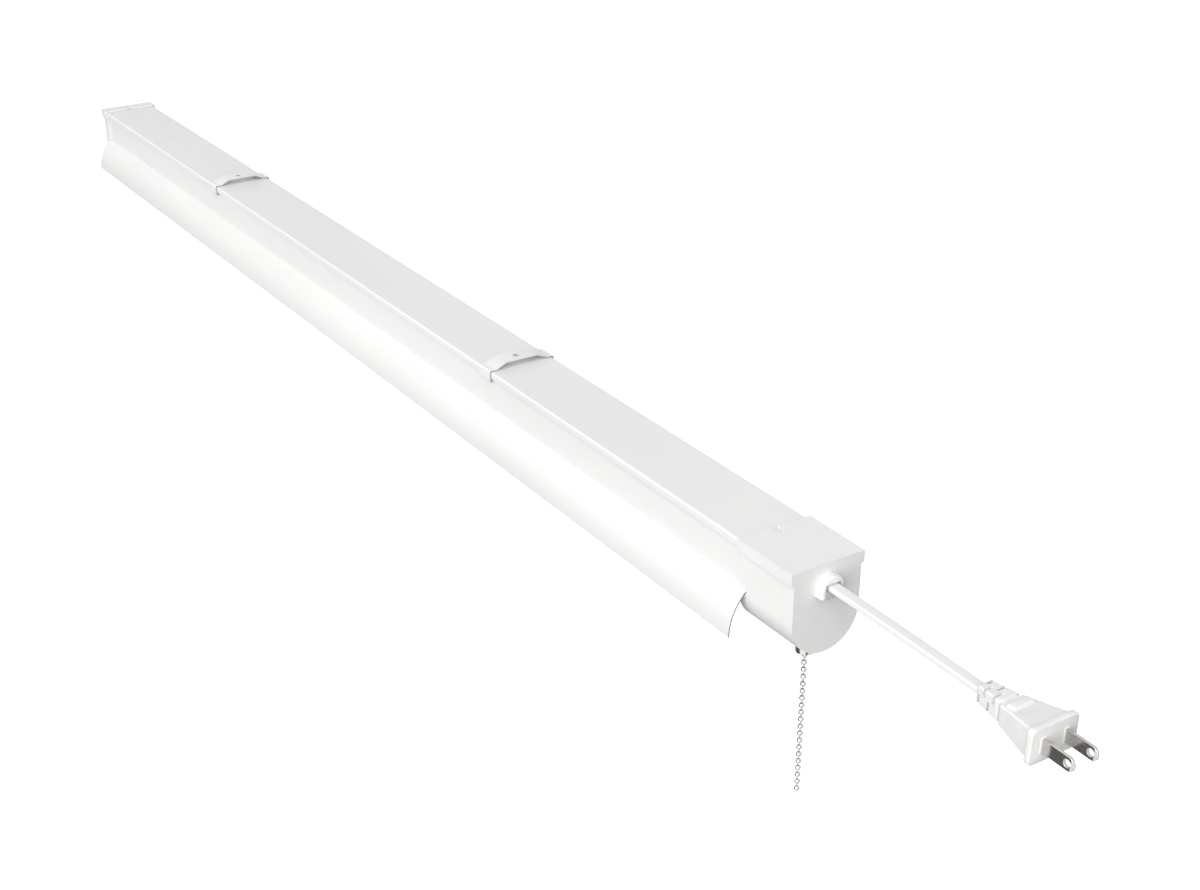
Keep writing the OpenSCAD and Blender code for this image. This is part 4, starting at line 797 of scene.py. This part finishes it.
stage = {
    "floorHeight": -1.5,  # m; the light hangs well above the floor
    "floorHalf": 14,
    "paper": "#e8e8e8",
    "shade": "#505050",  # what the paper throws back on the underside of the light
    "paperGlow": 0.85,  # to the camera
    "paperGlowReflected": 0.3,
    "around": 0.51,  # the surroundings' light
    "key": {"way": (0.505, -0.77, 0.39), "away": 3.0, "size": 5.0, "watts": 134},
    "cardTone": "#7c7c7c",
    "cardsFace": (0.5, 0, -0.03),
    # grey cards that only reflections see, as photographers set them round bright metal
    "cards": {
        "cardBehind": {"place": (-0.45, 0.587, -0.617), "half": 0.6},
        "cardLeft": {"place": (0.158, -0.3, -0.279), "half": 0.24},
        "cardNear": {"place": (0.66, -0.06, -0.17), "half": 0.05},
        "cardRight": {"place": (0.515, 0.24, -0.175), "half": 0.075},
        "cardBelow": {"place": (0.453, 0, -0.42), "half": 0.1},
    },
    "centre": (0.1, 0, -0.03),
}


def seenDirectly(tree):
    # 1 for what the camera, a reflection or clear plastic sees, 0 for scattered light
    path = addNode(tree, "ShaderNodeLightPath")
    seen = path.outputs["Is Camera Ray"]
    for ray in ("Is Glossy Ray", "Is Transmission Ray"):
        seen = addNode(tree, "ShaderNodeMath", {0: seen, 1: path.outputs[ray]},
                       operation="MAXIMUM").outputs[0]
    return seen


def paperFloor(s):
    # matt paper: white to the eye, where it still takes the shadow, greyer in reflections, and
    # weak as a source of light from below
    material = bpy.data.materials.new("paleFloorPaper")
    tree = emptyTree(material)
    seen = seenDirectly(tree)
    tone = addNode(tree, "ShaderNodeMix", {0: seen, 6: colour(s["shade"]), 7: colour(s["paper"])},
                   data_type="RGBA")
    path = addNode(tree, "ShaderNodeLightPath")
    level = addNode(tree, "ShaderNodeMapRange", {0: path.outputs["Is Camera Ray"],
                    3: s["paperGlowReflected"], 4: s["paperGlow"]})
    glow = addNode(tree, "ShaderNodeMath", {0: seen, 1: level.outputs[0]}, operation="MULTIPLY")
    matt = addNode(tree, "ShaderNodeBsdfDiffuse", {"Color": tone.outputs[2]})
    light = addNode(tree, "ShaderNodeEmission", {"Strength": glow.outputs[0]})
    both = addNode(tree, "ShaderNodeAddShader", {0: matt.outputs[0], 1: light.outputs[0]})
    addNode(tree, "ShaderNodeOutputMaterial", {"Surface": both.outputs[0]})
    square(s["floorHalf"], "floor", material).location = (0, 0, s["floorHeight"])


def square(half, name, material):
    mesh = bpy.data.meshes.new(name)
    mesh.from_pydata([(-half, -half, 0), (half, -half, 0), (half, half, 0), (-half, half, 0)], [],
                     [(0, 1, 2, 3)])
    sheet = bpy.data.objects.new(name, mesh)
    mesh.materials.append(material)
    bpy.context.scene.collection.objects.link(sheet)
    return sheet


def greyCards(s):
    # matt grey card: gives white metal an edge, because only reflections see it
    material = bpy.data.materials.new("mattGreyCard")
    tree = emptyTree(material)
    grey = addNode(tree, "ShaderNodeBsdfDiffuse", {"Color": colour(s["cardTone"])})
    addNode(tree, "ShaderNodeOutputMaterial", {"Surface": grey.outputs[0]})
    for name, card in s["cards"].items():
        sheet = square(card["half"], name, material)
        sheet.location = card["place"]
        towards = Vector(s["cardsFace"]) - sheet.location
        sheet.rotation_euler = towards.to_track_quat("Z", "Y").to_euler()
        sheet.visible_camera = sheet.visible_diffuse = sheet.visible_shadow = False
        sheet.visible_transmission = sheet.visible_volume_scatter = False


def makeWorld(level):
    world = bpy.data.worlds.new("studio")
    bpy.context.scene.world = world
    tree = emptyTree(world)
    strength = addNode(tree, "ShaderNodeMapRange", {0: seenDirectly(tree), 3: level, 4: 1.0})
    back = addNode(tree, "ShaderNodeBackground", {"Color": (1, 1, 1, 1),
                   "Strength": strength.outputs[0]})
    addNode(tree, "ShaderNodeOutputWorld", {"Surface": back.outputs[0]})


def softbox(name, light, centre):
    data = bpy.data.lights.new(name, "AREA")
    data.energy, data.size, data.shape = light["watts"], light["size"], "DISK"
    lamp = bpy.data.objects.new(name, data)
    lamp.location = Vector(centre) + Vector(light["way"]) * light["away"]
    lamp.rotation_euler = (-Vector(light["way"])).to_track_quat("-Z", "Y").to_euler()
    bpy.context.scene.collection.objects.link(lamp)


paperFloor(stage)
greyCards(stage)
makeWorld(stage["around"])
softbox("keySoftbox", stage["key"], stage["centre"])
bpy.context.scene.view_settings.view_transform = "Standard"
print("stage and light set")
